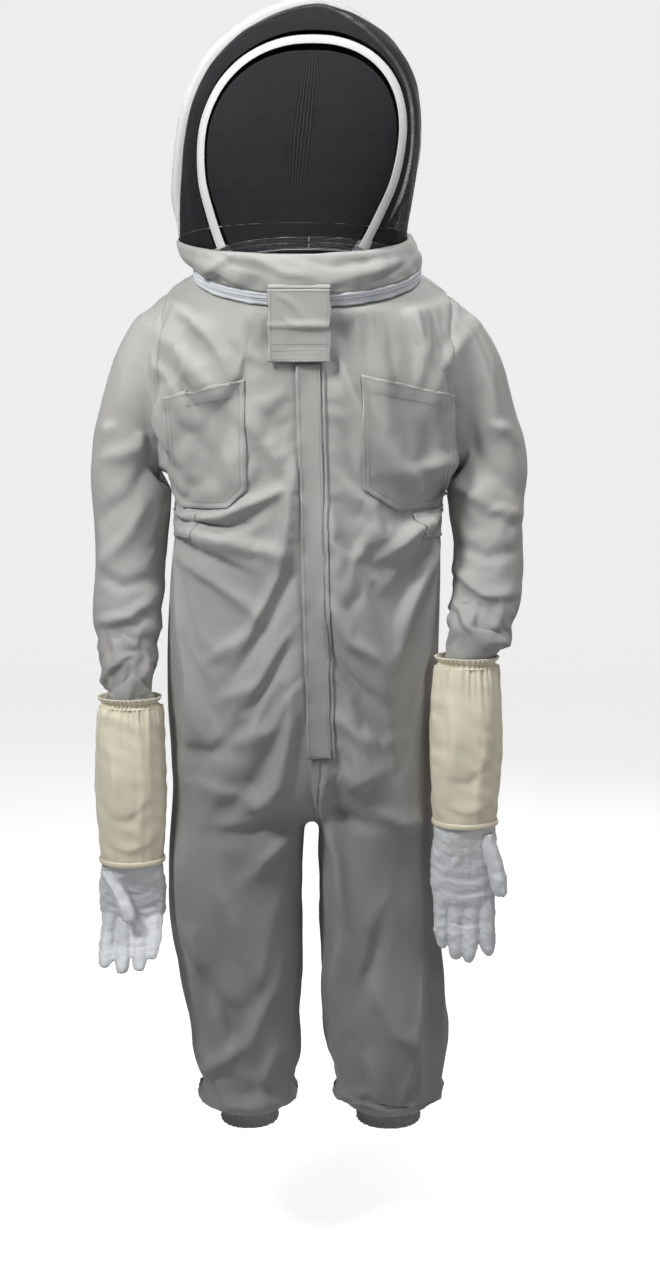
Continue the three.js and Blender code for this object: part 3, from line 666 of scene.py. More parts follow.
class Wardrobe:
    """Every finish of the suit, built once."""

    def __init__(self) -> None:
        """Build the finishes."""
        groups = Groups()
        # Each finish's second colour is painted shade, taken on lower down.
        finishes = (
            # Painted shade: the twill turns from its pale chest colour to a far darker one below the waist,
            # standing in for light falling from above.
            Finish(
                "twill", (0.50, 0.492, 0.468), (0.120, 0.111, 0.121), (0.41, 0.402, 0.392), top=-0.10,
                bottom=-0.95
            ),
            # Painted shade: the inner face is a darker copy of the twill, and it darkens further lower down.
            Finish("twill_inside", (0.33, 0.325, 0.31), (0.10, 0.095, 0.10), (0.28, 0.275, 0.27), top=-0.2),
            Finish(
                "trim", (0.36, 0.35, 0.335), (0.15, 0.14, 0.145), (0.28, 0.27, 0.26), pitch=0.0016,
                twill=0.0
            ),
            Finish(
                "thread", (0.37, 0.36, 0.34), (0.13, 0.12, 0.125), (0.30, 0.29, 0.28), pitch=0.0005,
                sheen=0.3
            ),
            Finish(
                "tape", (0.76, 0.79, 0.82), (0.72, 0.75, 0.78), (0.69, 0.72, 0.76), pitch=0.0009, twill=0.0
            ),
            Finish(
                "steel", (0.60, 0.60, 0.61), (0.5, 0.5, 0.52), (0.52, 0.52, 0.53), roughness=0.35,
                metallic=1.0, weave_depth=0.0, grain=900.0, grain_depth=0.00002, sheen=0.0
            ),
            Finish(
                "hook", (0.26, 0.25, 0.24), (0.22, 0.21, 0.2), (0.21, 0.20, 0.19), roughness=0.95,
                pitch=0.0016, twill=0.0, weave_depth=0.0005, grain=1500.0, grain_depth=0.0006, sheen=0.5
            ),
            Finish(
                "hoop", (0.66, 0.665, 0.665), (0.60, 0.60, 0.60), (0.60, 0.60, 0.605), pitch=0.0012,
                twill=0.0, weave_depth=0.0002
            ),
            Finish(
                "veil", (0.012, 0.013, 0.015), (0.01, 0.01, 0.012), (0.018, 0.019, 0.022), pitch=0.0016,
                twill=0.0, sheen=0.05, openness=0.56
            ),
            # Painted shade: a near black inner face for the hood's back and the collar, where the real cloth
            # is grey twill in shade.
            Finish(
                "lining", (0.014, 0.015, 0.018), (0.012, 0.012, 0.015), (0.02, 0.021, 0.025), twill=0.0,
                sheen=0.05
            ),
            Finish(
                "canvas", (0.84, 0.79, 0.65), (0.78, 0.72, 0.57), (0.76, 0.70, 0.54), top=-0.4,
                bottom=-0.9, pitch=0.0017, twill=0.0, weave_depth=0.00025
            ),
            Finish(
                "leather", (0.76, 0.78, 0.80), (0.68, 0.70, 0.73), (0.62, 0.64, 0.66), top=-0.7,
                bottom=-1.0, roughness=0.62, pitch=0.0008, twill=0.0, weave_depth=0.00001, grain=420.0,
                grain_depth=0.00035, sheen=0.1
            ),
        )
        self.stock = {finish.name: finish.material(groups) for finish in finishes}

    def __getitem__(self, name: str) -> bpy.types.Material:
        """The finish of that name."""
        return self.stock[name]


# --- Folds and runs -------------------------------------------------------------------------------


@dataclass(frozen=True)
class Fold:
    """One fold in hanging cloth, followed as a line across the front or the back."""

    line: tuple[tuple[float, float], ...]
    rise: float
    width: float
    skew: float = 0.35

    def lift(self, x: Points, z: Points) -> Points:
        """Measure how far the fold lifts the cloth.

        Args:
            x: How far across each point is.
            z: How high each point is.

        Returns:
            The lift at each point.
        """
        spots = np.stack([x, z], axis=1)
        nearest = np.full(len(spots), np.inf)
        signed, share = np.zeros(len(spots)), np.zeros(len(spots))
        joints = np.array(self.line, float)
        steps = np.linalg.norm(np.diff(joints, axis=0), axis=1)
        start, whole = 0.0, steps.sum()
        for a, b, step in zip(joints[:-1], joints[1:], steps):
            along = (b - a) / step
            run = np.clip((spots - a) @ along, 0, step)
            away = spots - (a + run[:, None] * along)
            distance = np.linalg.norm(away, axis=1)
            closer = distance < nearest
            nearest[closer] = distance[closer]
            signed[closer] = (away @ np.array([-along[1], along[0]]))[closer]
            share[closer] = ((start + run) / whole)[closer]
            start += step
        taper = np.clip(np.sin(np.pi * (0.06 + 0.88 * share)), 0, 1) ** 0.7
        flank = 0.82 * np.where(signed > 0, self.width * (1 + self.skew), self.width * (1 - self.skew))
        return self.rise * taper * np.exp(-((nearest / flank) ** 2))


def pressed(points: Points, normals: Points, folds: Sequence[Fold], facing: float) -> Points:
    """Press folds into one face of the cloth.

    Args:
        points: The cloth's points.
        normals: The directions that they face.
        folds: The folds.
        facing: -1 for the front and 1 for the back.

    Returns:
        How far each point moves along its normal.
    """
    total = np.zeros(len(points))
    for one in folds:
        total += one.lift(points[:, 0], points[:, 2])
    return total * smooth(facing * normals[:, 1], -0.05, 0.45)


def run_tree() -> bpy.types.GeometryNodeTree:
    """Build the nodes that lay one small rounded shape at even steps along a path.

    Returns:
        The tree, used for stitches and for zip teeth.
    """
    tree = bpy.data.node_groups.new("run_along_path", "GeometryNodeTree")
    tree.interface.new_socket("Geometry", in_out="INPUT", socket_type="NodeSocketGeometry")
    for label in ("Step", "Along", "Across", "High"):
        tree.interface.new_socket(label, in_out="INPUT", socket_type="NodeSocketFloat")
    tree.interface.new_socket("Material", in_out="INPUT", socket_type="NodeSocketMaterial")
    tree.interface.new_socket("Geometry", in_out="OUTPUT", socket_type="NodeSocketGeometry")
    wire = Wiring(tree)
    given = wire.add("NodeGroupInput").outputs
    path = wire.add("GeometryNodeMeshToCurve", {0: given["Geometry"]})
    even = wire.add(
        "GeometryNodeResampleCurve", {"Curve": path.outputs[0], "Length": given["Step"]}, mode="LENGTH"
    )
    spots = wire.add("GeometryNodeCurveToPoints", {"Curve": even.outputs[0]}, mode="EVALUATED")
    up = wire.add("GeometryNodeInputNamedAttribute", {"Name": "up"}, data_type="FLOAT_VECTOR")
    along = wire.add(
        "FunctionNodeAlignRotationToVector", {"Vector": spots.outputs["Tangent"]}, axis="X"
    )
    turned = wire.add(
        "FunctionNodeAlignRotationToVector", {
            "Rotation": along.outputs[0], "Vector": up.outputs[0]
        }, axis="Z",
        pivot_axis="X",
    )
    size = wire.add("ShaderNodeCombineXYZ", {0: given["Along"], 1: given["Across"], 2: given["High"]})
    bead = wire.add("GeometryNodeMeshUVSphere", {"Segments": 6, "Rings": 4, "Radius": 0.5})
    laid = wire.add(
        "GeometryNodeInstanceOnPoints",
        {"Points": spots.outputs["Points"], "Instance": bead.outputs[0], "Rotation": turned.outputs[0],
         "Scale": size.outputs[0]},
    )
    real = wire.add("GeometryNodeRealizeInstances", {0: laid.outputs[0]})
    coloured = wire.add(
        "GeometryNodeSetMaterial", {"Geometry": real.outputs[0], "Material": given["Material"]}
    )
    wire.add("NodeGroupOutput", {0: coloured.outputs[0]})
    return tree


@dataclass(frozen=True)
class Run:
    """A run of one small shape along paths: a row of stitches or the teeth of a zip."""

    step: float
    along: float
    across: float
    high: float

    def lay(self, name: str, paths: Sequence[tuple[Points, Points]], tree: bpy.types.GeometryNodeTree,
            material: bpy.types.Material) -> bpy.types.Object:
        """Lay the run.

        Args:
            name: The new piece's name.
            paths: The points of each path and the directions that face up from it.
            tree: The nodes that lay it.
            material: Its finish.

        Returns:
            The run as a plain mesh.
        """
        points = np.vstack([path for path, _ in paths])
        ups = np.vstack([up for _, up in paths])
        edges, start = [], 0
        for path, _ in paths:
            edges.extend((start + i, start + i + 1) for i in range(len(path) - 1))
            start += len(path)
        mesh = bpy.data.meshes.new(name)
        mesh.from_pydata(points.tolist(), edges, [])
        mesh.attributes.new("up", "FLOAT_VECTOR", "POINT").data.foreach_set(
            "vector", ups.astype(np.float32).ravel()
        )
        piece = bpy.data.objects.new(name, mesh)
        bpy.context.scene.collection.objects.link(piece)
        layer = piece.modifiers.new("run", "NODES")
        layer.node_group = tree
        values = {"Step": self.step, "Along": self.along, "Across": self.across, "High": self.high,
                  "Material": material}
        for item in tree.interface.items_tree:
            if item.in_out == "INPUT" and item.name in values:
                layer[item.identifier] = values[item.name]
        baked(piece)
        for layer_name in [a.name for a in piece.data.attributes if a.name == "up"]:
            piece.data.attributes.remove(piece.data.attributes[layer_name])
        return piece


STITCH = Run(step=0.0034, along=0.0028, across=0.0009, high=0.0008)
TEETH = Run(step=0.0030, along=0.0022, across=0.0048, high=0.0022)


# --- Coverall -------------------------------------------------------------------------------------


FRONT_FOLDS = (
    # left chest: drag from the shoulder and the armhole down to the pocket
    Fold(((-0.235, 0.005), (-0.17, -0.05), (-0.115, -0.11)), 0.010, 0.016),
    Fold(((-0.215, -0.03), (-0.165, -0.085), (-0.14, -0.14)), -0.009, 0.013),
    Fold(((-0.20, 0.03), (-0.14, -0.02), (-0.10, -0.08)), 0.006, 0.012),
    Fold(((-0.235, -0.07), (-0.20, -0.14), (-0.175, -0.22)), 0.011, 0.017),
    Fold(((-0.19, -0.10), (-0.135, -0.14), (-0.10, -0.21)), 0.009, 0.020),
    Fold(((-0.205, -0.16), (-0.17, -0.22), (-0.165, -0.27)), -0.008, 0.013),
    Fold(((-0.10, -0.12), (-0.055, -0.17), (-0.03, -0.22)), 0.007, 0.014),
    Fold(((-0.115, -0.02), (-0.06, -0.055), (-0.02, -0.065)), 0.005, 0.012),
    # left waist: gathers drawn in at the side
    Fold(((-0.20, -0.275), (-0.12, -0.265), (-0.04, -0.24)), 0.008, 0.011),
    Fold(((-0.20, -0.30), (-0.11, -0.305), (-0.03, -0.33)), 0.009, 0.012),
    Fold(((-0.205, -0.325), (-0.13, -0.36), (-0.06, -0.42)), 0.007, 0.012),
    Fold(((-0.19, -0.288), (-0.13, -0.285), (-0.08, -0.28)), -0.007, 0.008),
    Fold(((-0.19, -0.315), (-0.13, -0.33), (-0.08, -0.35)), -0.006, 0.008),
    Fold(((-0.02, -0.20), (-0.03, -0.30), (-0.045, -0.36)), 0.006, 0.012),
    # left hip and thigh
    Fold(((-0.19, -0.38), (-0.175, -0.50), (-0.19, -0.64)), 0.009, 0.020),
    Fold(((-0.05, -0.36), (-0.09, -0.43), (-0.15, -0.47)), 0.006, 0.013),
    Fold(((-0.03, -0.44), (-0.075, -0.50), (-0.13, -0.52)), 0.006, 0.012),
    Fold(((-0.02, -0.52), (-0.06, -0.57), (-0.14, -0.585)), 0.007, 0.014),
    Fold(((-0.10, -0.56), (-0.15, -0.60), (-0.20, -0.60)), -0.007, 0.012),
    Fold(((-0.02, -0.645), (-0.08, -0.665), (-0.17, -0.65)), 0.010, 0.015),
    Fold(((-0.03, -0.685), (-0.09, -0.715), (-0.16, -0.72)), -0.008, 0.013),
    Fold(((-0.02, -0.71), (-0.07, -0.75), (-0.11, -0.80)), 0.008, 0.015),
    # left leg: long soft folds to the gathered ankle
    Fold(((-0.20, -0.75), (-0.19, -0.86), (-0.15, -0.96)), 0.010, 0.020),
    Fold(((-0.14, -0.80), (-0.10, -0.90), (-0.06, -0.97)), 0.007, 0.018),
    Fold(((-0.17, -0.93), (-0.12, -1.00), (-0.10, -1.08)), -0.008, 0.017),
    Fold(((-0.06, -0.97), (-0.09, -1.04), (-0.155, -1.10)), 0.008, 0.015),
    Fold(((-0.155, -1.06), (-0.13, -1.12), (-0.115, -1.18)), 0.008, 0.014),
    Fold(((-0.05, -1.06), (-0.07, -1.12), (-0.075, -1.18)), 0.006, 0.012),
    # right chest: drag from the armhole and the collar
    Fold(((0.14, 0.025), (0.165, -0.03), (0.16, -0.08)), 0.006, 0.014),
    Fold(((0.235, -0.005), (0.19, -0.06), (0.165, -0.12)), 0.009, 0.016),
    Fold(((0.225, -0.08), (0.195, -0.16), (0.17, -0.23)), 0.009, 0.018),
    Fold(((0.05, -0.05), (0.075, -0.13), (0.08, -0.20)), 0.007, 0.016),
    Fold(((0.10, -0.01), (0.13, -0.07), (0.125, -0.12)), -0.005, 0.014),
    Fold(((0.205, -0.17), (0.16, -0.20), (0.11, -0.20)), 0.006, 0.012),
    # right waist
    Fold(((0.20, -0.265), (0.15, -0.285), (0.10, -0.33)), 0.010, 0.011),
    Fold(((0.20, -0.285), (0.16, -0.31), (0.13, -0.36)), -0.008, 0.008),
    Fold(((0.205, -0.305), (0.165, -0.345), (0.14, -0.42)), 0.010, 0.013),
    Fold(((0.025, -0.25), (0.04, -0.33), (0.035, -0.42)), 0.008, 0.016),
    Fold(((0.10, -0.27), (0.07, -0.33), (0.05, -0.38)), 0.006, 0.012),
    # right hip and thigh
    Fold(((0.03, -0.40), (0.06, -0.45), (0.11, -0.47)), 0.008, 0.012),
    Fold(((0.025, -0.45), (0.055, -0.50), (0.12, -0.54)), -0.006, 0.011),
    Fold(((0.185, -0.36), (0.175, -0.50), (0.18, -0.64)), 0.009, 0.020),
    Fold(((0.03, -0.56), (0.08, -0.59), (0.15, -0.585)), 0.006, 0.014),
    Fold(((0.02, -0.64), (0.07, -0.645), (0.13, -0.625)), 0.011, 0.014),
    Fold(((0.015, -0.675), (0.06, -0.70), (0.11, -0.71)), -0.008, 0.012),
    Fold(((0.03, -0.70), (0.055, -0.76), (0.06, -0.85)), 0.009, 0.015),
    Fold(((0.10, -0.68), (0.15, -0.71), (0.19, -0.71)), 0.007, 0.014),
    # right leg
    Fold(((0.06, -0.86), (0.045, -0.95), (0.055, -1.05)), 0.010, 0.017),
    Fold(((0.12, -0.84), (0.10, -0.92), (0.08, -0.96)), -0.007, 0.016),
    Fold(((0.18, -0.80), (0.19, -0.92), (0.17, -1.03)), 0.009, 0.020),
    Fold(((0.10, -0.96), (0.13, -1.03), (0.19, -1.07)), 0.007, 0.015),
    Fold(((0.09, -1.07), (0.11, -1.13), (0.12, -1.19)), 0.009, 0.012),
    Fold(((0.17, -1.08), (0.15, -1.13), (0.135, -1.18)), -0.007, 0.011),
    Fold(((0.155, -1.09), (0.145, -1.14), (0.13, -1.19)), 0.007, 0.010),
)
BACK_FOLDS = (
    Fold(((-0.20, 0.01), (-0.10, -0.04), (0.0, -0.05), (0.10, -0.04), (0.20, 0.01)), 0.009, 0.020),
    Fold(((-0.18, -0.08), (-0.08, -0.12), (0.05, -0.12)), -0.007, 0.017),
    Fold(((0.22, -0.06), (0.14, -0.14), (0.10, -0.24)), 0.010, 0.019),
    Fold(((-0.22, -0.06), (-0.15, -0.15), (-0.12, -0.25)), 0.010, 0.019),
    Fold(((-0.03, -0.14), (-0.05, -0.22), (-0.04, -0.27)), 0.008, 0.015),
    Fold(((0.05, -0.16), (0.06, -0.23), (0.05, -0.275)), 0.007, 0.014),
    Fold(((-0.10, -0.31), (-0.12, -0.38), (-0.17, -0.44)), 0.008, 0.015),
    Fold(((0.09, -0.31), (0.12, -0.38), (0.17, -0.43)), 0.008, 0.015),
    Fold(((-0.02, -0.32), (-0.03, -0.40), (-0.06, -0.46)), 0.006, 0.013),
    Fold(((0.01, -0.55), (-0.07, -0.61), (-0.16, -0.60)), -0.008, 0.016),
    Fold(((0.01, -0.55), (0.07, -0.60), (0.16, -0.59)), -0.008, 0.016),
    Fold(((-0.02, -0.66), (-0.09, -0.69), (-0.18, -0.67)), 0.009, 0.016),
    Fold(((0.02, -0.66), (0.09, -0.69), (0.18, -0.66)), 0.009, 0.016),
    Fold(((-0.17, -0.76), (-0.13, -0.86), (-0.15, -0.97)), 0.009, 0.020),
    Fold(((0.16, -0.76), (0.12, -0.86), (0.16, -0.97)), 0.009, 0.020),
    Fold(((-0.05, -0.92), (-0.09, -1.00), (-0.15, -1.04)), 0.008, 0.015),
    Fold(((0.07, -0.92), (0.12, -1.00), (0.18, -1.03)), 0.008, 0.015),
    Fold(((-0.10, -1.05), (-0.09, -1.12), (-0.09, -1.18)), 0.008, 0.014),
    Fold(((0.13, -1.05), (0.12, -1.12), (0.12, -1.18)), 0.008, 0.014),
)
SLEEVE_FOLDS = (
    Fold(((-0.215, -0.10), (-0.25, -0.16), (-0.30, -0.18)), 0.006, 0.014),
    Fold(((-0.22, -0.16), (-0.26, -0.23), (-0.31, -0.26)), -0.006, 0.013),
    Fold(((-0.23, -0.22), (-0.27, -0.29), (-0.31, -0.33)), 0.006, 0.012),
    Fold(((-0.31, -0.34), (-0.27, -0.36), (-0.225, -0.35)), -0.006, 0.010),
    Fold(((-0.225, -0.37), (-0.26, -0.40), (-0.305, -0.41)), 0.006, 0.011),
    Fold(((-0.29, -0.43), (-0.27, -0.49), (-0.27, -0.55)), 0.006, 0.010),
    Fold(((-0.24, -0.44), (-0.245, -0.50), (-0.255, -0.56)), -0.005, 0.008),
    Fold(((-0.25, -0.02), (-0.285, -0.09), (-0.295, -0.16)), 0.006, 0.014),
    Fold(((0.235, -0.06), (0.265, -0.12), (0.30, -0.15)), 0.006, 0.014),
    Fold(((0.225, -0.13), (0.26, -0.20), (0.31, -0.23)), -0.006, 0.013),
    Fold(((0.225, -0.21), (0.27, -0.25), (0.315, -0.26)), 0.006, 0.012),
    Fold(((0.22, -0.30), (0.26, -0.32), (0.315, -0.31)), -0.006, 0.011),
    Fold(((0.22, -0.34), (0.26, -0.375), (0.31, -0.37)), 0.007, 0.011),
    Fold(((0.215, -0.40), (0.24, -0.44), (0.24, -0.48)), 0.006, 0.010),
    Fold(((0.285, -0.39), (0.265, -0.43), (0.25, -0.48)), 0.006, 0.010),
    Fold(((0.25, -0.38), (0.25, -0.43), (0.245, -0.47)), -0.006, 0.009),
)


@dataclass
class Coverall:
    """The one-piece coverall: its body, legs and sleeves as one hung cloth, cut into its panels."""

    chest: float = 0.215
    depth: float = 0.150
    torso_length: float = 0.712
    leg_length: float = 0.492
    sleeve_radius: float = 0.053
    face: float = 0.0075
    wall: float = 0.0014
    slot: float = 0.008
    slot_bottom: float = -0.622
    spread: float = 0.045
    ease: float = 0.07
    swing: float = 0.026
    crispness: float = 2.1
    armhole: float = 0.214
    glove_lines: tuple[tuple[float, float], ...] = ((-0.262, -0.070), (0.232, -0.092))
    glove_room: float = 0.0600
    glove_ease: float = 0.005
    glove_top: float = 0.52
    torso: tuple[tuple[float, ...], ...] = (
        (
            -0.053, 0.99, 1.0, 1.053, 0.28, 0
        ), (-0.017, 1.116, 1.0, 1.047, 0.2, 0), (0.025, 1.19, 1.0, 1.01, 0.12, 0),
        (0.077, 1.21, 1.0, 0.973, 0.05, 0), (0.14, 1.163, 1.0, 0.947, 0, 0), (0.21, 1.06, 1.0, 0.947, 0, 0),
        (0.3, 0.967, 1.0, 0.96, 0, 0), (0.41, 0.912, 1.0, 0.92, 0, 0), (0.463, 0.93, 1.0, 0.933, 0, -0.01),
        (0.56, 0.96, 1.0, 0.973, 0, -0.03), (0.7, 0.968, 1.0, 1.0, 0, -0.046), (
            0.84, 0.958, 1.0, 0.987, 0, -0.046
        ),
        (
            0.925, 0.93, 0.947, 0.92, 0, -0.046
        ), (0.97, 0.88, 0.78, 0.76, 0, -0.046), (1.0, 0.79, 0.46, 0.44, 0, -0.046),
    )
    leg_left: tuple[tuple[float, ...], ...] = (
        (
            -0.34, -0.104, 0.092, 0.118, 0.118
        ), (-0.14, -0.106, 0.100, 0.126, 0.124), (0, -0.110, 0.102, 0.122, 0.122),
        (
            0.16, -0.112, 0.104, 0.116, 0.118
        ), (0.36, -0.113, 0.104, 0.108, 0.112), (0.51, -0.104, 0.093, 0.100, 0.104),
        (
            0.68, -0.094, 0.083, 0.092, 0.096
        ), (0.82, -0.092, 0.078, 0.088, 0.092), (0.92, -0.093, 0.075, 0.084, 0.088),
        (0.975, -0.092, 0.062, 0.070, 0.074), (1.0, -0.092, 0.045, 0.054, 0.058),
    )
    leg_right: tuple[tuple[float, ...], ...] = (
        (
            -0.34, 0.094, 0.088, 0.118, 0.118
        ), (-0.14, 0.099, 0.095, 0.124, 0.124), (0, 0.104, 0.093, 0.121, 0.122),
        (
            0.16, 0.105, 0.091, 0.116, 0.118
        ), (0.36, 0.106, 0.091, 0.108, 0.112), (0.51, 0.111, 0.093, 0.102, 0.106),
        (
            0.68, 0.117, 0.094, 0.098, 0.100
        ), (0.82, 0.122, 0.089, 0.094, 0.096), (0.92, 0.124, 0.085, 0.088, 0.092),
        (0.975, 0.124, 0.070, 0.074, 0.078), (1.0, 0.124, 0.050, 0.056, 0.060),
    )
    sleeve_left: tuple[tuple[float, ...], ...] = (
        (-0.186, -0.004, -0.038, 1.6, 1.5), (
            -0.222, -0.004, -0.076, 1.42, 1.38
        ), (-0.249, -0.004, -0.134, 1.13, 1.22),
        (-0.266, -0.006, -0.205, 1.0, 1.12), (
            -0.268, -0.012, -0.310, 0.99, 1.06
        ), (-0.268, -0.034, -0.420, 0.96, 1.0),
        (
            -0.265, -0.058, -0.500, 0.84, 0.88
        ), (-0.262, -0.068, -0.544, 0.68, 0.7), (-0.262, -0.070, -0.580, 0.66, 0.68),
        (-0.262, -0.070, -0.660, 0.64, 0.66), (-0.262, -0.070, -0.752, 0.6, 0.62),
    )
    sleeve_right: tuple[tuple[float, ...], ...] = (
        (0.186, -0.004, -0.038, 1.6, 1.5), (
            0.222, -0.004, -0.076, 1.42, 1.38
        ), (0.250, -0.004, -0.134, 1.13, 1.22),
        (0.269, -0.006, -0.205, 1.0, 1.12), (
            0.271, -0.018, -0.300, 0.98, 1.06
        ), (0.266, -0.048, -0.385, 1.02, 1.02),
        (
            0.250, -0.074, -0.435, 0.96, 0.96
        ), (0.236, -0.089, -0.476, 0.68, 0.7), (0.232, -0.092, -0.510, 0.66, 0.68),
        (0.232, -0.092, -0.600, 0.64, 0.66), (0.232, -0.092, -0.690, 0.6, 0.62),
    )
    skin: BVHTree | None = None

    def torso_rings(self) -> Points:
        """Lay out the torso's rings from the neck to the crotch."""
        rows = [
            self._neck_row(drop, NECK_RADIUS + more) for drop, more in ((0.0093, 0.0), (0.017, 0.009))
        ]
        for i, (z, half, front, back, slope, x) in enumerate(self.torso):
            square = 2.0 if i < 3 else 2.25
            rows.append(
                (x * self.chest, 0.0, -z * self.torso_length, half * self.chest, front * self.depth,
                 back * self.depth, slope, square)
            )
        return np.stack([oval(row, 128) for row in eased(rows, 4)])

    def leg_rings(self, side: Side) -> Points:
        """Lay out a leg's rings from inside the torso to the ankle."""
        rows = self.leg_left if side is Side.LEFT else self.leg_right
        full = [
            (x, 0.0, -self.torso_length - share * self.leg_length, half, front, back, 0.0, 2.2)
            for share, x, half, front, back in rows
        ]
        return np.stack([oval(row, 96) for row in eased(full, 4)])

    def sleeve_rings(self, side: Side) -> Points:
        """Lay out a sleeve's rings from inside the torso to the wrist."""
        rows = np.array(self.sleeve_left if side is Side.LEFT else self.sleeve_right)
        rows[:, 3:] *= self.sleeve_radius
        return path_rings(eased(rows, 4), np.array([0.0, 1.0, 0.0]), 64)

    def _neck_row(self, drop: float, radius: float) -> tuple[float, ...]:
        """Describe a ring below the neck opening, in its tilted plane."""
        return (
            0.0, drop * math.sin(NECK_TILT),
            NECK_Z - drop * (math.cos(NECK_TILT) + math.sin(NECK_TILT) * NECK_SLOPE),
            radius, radius * math.cos(NECK_TILT), radius * math.cos(NECK_TILT), NECK_SLOPE, 2.0,
        )

    def _apart(self, z: Points) -> Points:
        """How far a sleeve is held away from the body at a height, while the cloth is made."""
        return self.spread * smooth(-z, 0.13, 0.27)

    def _edge(self, points: Points) -> Points:
        """How far out the line between body and sleeve is, at each point of the spread cloth."""
        right = 0.240 - 0.014 * smooth(-points[:, 2], 0.24, 0.45)
        left = np.full(len(points), 0.242)
        return np.where(points[:, 0] > 0, right, left)

    def _on_sleeve(self, points: Points) -> Points:
        """The share, from 0 to 1, by which each point of the spread cloth belongs to a sleeve."""
        out = np.abs(points[:, 0]) - self._edge(points)
        return smooth(out, -0.008, 0.008) * smooth(-points[:, 2], 0.10, 0.16)

    def _closed_in(self, points: Points) -> Points:
        """Bring the sleeves of the spread cloth back to the body's sides."""
        shift = self._apart(points[:, 2]) * self._on_sleeve(points) * np.sign(points[:, 0])
        moved = points.copy()
        moved[:, 0] -= shift
        return moved

    def _held(self, points: Points) -> Points:
        """How firmly each point is held: at the neck, the front line, the wrists and the ankles."""
        neck = points[:, 2] - (NECK_Z + NECK_SLOPE * points[:, 1])
        hold = smooth(neck, -0.045, -0.02)
        hold = np.maximum(hold, smooth(-points[:, 2], 1.165, 1.195))
        on_arm = (np.abs(points[:, 0]) > self._edge(points)) & (points[:, 2] < -0.3)
        wrist = np.where(points[:, 0] > 0, 0.49, 0.56)
        hold = np.maximum(hold, on_arm * smooth(-points[:, 2] - wrist, -0.03, 0.0))
        line = np.abs(points[:, 0] + points[:, 2] * math.tan(FRONT_LEAN))
        front = (points[:, 1] < 0) & (points[:, 2] > self.slot_bottom)
        hold = np.maximum(hold, front * 0.8 * (1 - smooth(line, 0.015, 0.035)))
        sides = smooth(points[:, 1], -0.09, -0.04)
        waist = 1 - smooth(np.abs(points[:, 2] - WAIST_Z), 0.012, 0.03)
        return np.maximum(hold, 0.9 * sides * waist * (np.abs(points[:, 0]) < self._edge(points)))

    def _hang(self, cloth: bpy.types.Object, form: bpy.types.Object, held: Points) -> Points:
        """Let the cloth hang round the form, with a little more cloth than the form needs.

        Args:
            cloth: The cloth.
            form: The shape inside it.
            held: How firmly each point is held.

        Returns:
            How far each point moves.
        """
        start = places(cloth)
        form.modifiers.new("Collision", "COLLISION")
        form.collision.thickness_outer = 0.003
        form.collision.cloth_friction = 12.0
        group = cloth.vertex_groups.new(name="held")
        for level in range(1, 11):
            chosen = np.nonzero(np.round(held * 10).astype(int) == level)[0]
            group.add(chosen.tolist(), level / 10, "REPLACE")
        layer = cloth.modifiers.new("Cloth", "CLOTH")
        settings = layer.settings
        settings.quality = 5
        settings.mass = 0.2
        settings.tension_stiffness = settings.compression_stiffness = 20.0
        settings.shear_stiffness = 8.0
        settings.bending_stiffness = 0.9
        settings.tension_damping = settings.compression_damping = 8.0
        settings.air_damping = 2.0
        settings.shrink_min = -self.ease
        settings.vertex_group_mass = "held"
        settings.pin_stiffness = 4.0
        settings.effector_weights.gravity = 0.5
        layer.collision_settings.collision_quality = 2
        layer.collision_settings.distance_min = 0.002
        layer.collision_settings.use_self_collision = False
        scene = bpy.context.scene
        layer.point_cache.frame_start, layer.point_cache.frame_end = 1, 22
        for step in range(1, 23):
            scene.frame_set(step)
        baked(cloth)
        scene.frame_set(1)
        moved = places(cloth) - start
        put_places(cloth, start)
        length = np.linalg.norm(moved, axis=1, keepdims=True).clip(1e-9)
        return moved * (self.swing * np.tanh(length / self.swing) / length)

    def weave_cloth(self) -> bpy.types.Object:
        """Make the whole coverall as one cloth, folded and hung.

        Returns:
            The cloth in its spread place, with each point's way to its hung place as an attribute.
        """
        parts = [tube(self.torso_rings())]
        for side in Side:
            parts.append(tube(self.leg_rings(side)))
            rings = self.sleeve_rings(side)
            rings[..., 0] += side.value * self._apart(rings[..., 2])
            parts.append(tube(rings))
        cloth = one_skin("cloth", parts, self.face, 4)
        start = places(cloth)
        normals = point_normals(cloth)
        hung = self._closed_in(start)
        sleeve = self._on_sleeve(start) > 0.5
        body_lift = pressed(hung, normals, FRONT_FOLDS, -1.0) + pressed(hung, normals, BACK_FOLDS, 1.0)
        arm_lift = pressed(
            hung, normals, SLEEVE_FOLDS, -1.0
        ) + pressed(hung, normals, SLEEVE_FOLDS, 1.0) * 0.8
        lift = self.crispness * np.where(sleeve, arm_lift, body_lift) + 0.0022 * ripples(hung, 7, 0.09)
        held = self._held(start)
        calm = 1 - 0.85 * smooth(held, 0.5, 1.0)
        moved = normals * (lift * calm)[:, None]
        form = self._inner_form(cloth, start, normals)
        put_places(cloth, start + moved)
        moved += self._hang(cloth, form, held)
        bpy.data.objects.remove(form, do_unlink=True)
        moved = relaxed(cloth, moved, 1)
        moved += hung - start
        return self._finer(cloth, start, moved)

    def _inner_form(self, cloth: bpy.types.Object, start: Points, normals: Points) -> bpy.types.Object:
        """Make the shape that the cloth hangs round, a little smaller than the cloth."""
        form = cloth.copy()
        form.data = cloth.data.copy()
        bpy.context.scene.collection.objects.link(form)
        put_places(form, relaxed(form, start - normals * 0.013, 6))
        return form

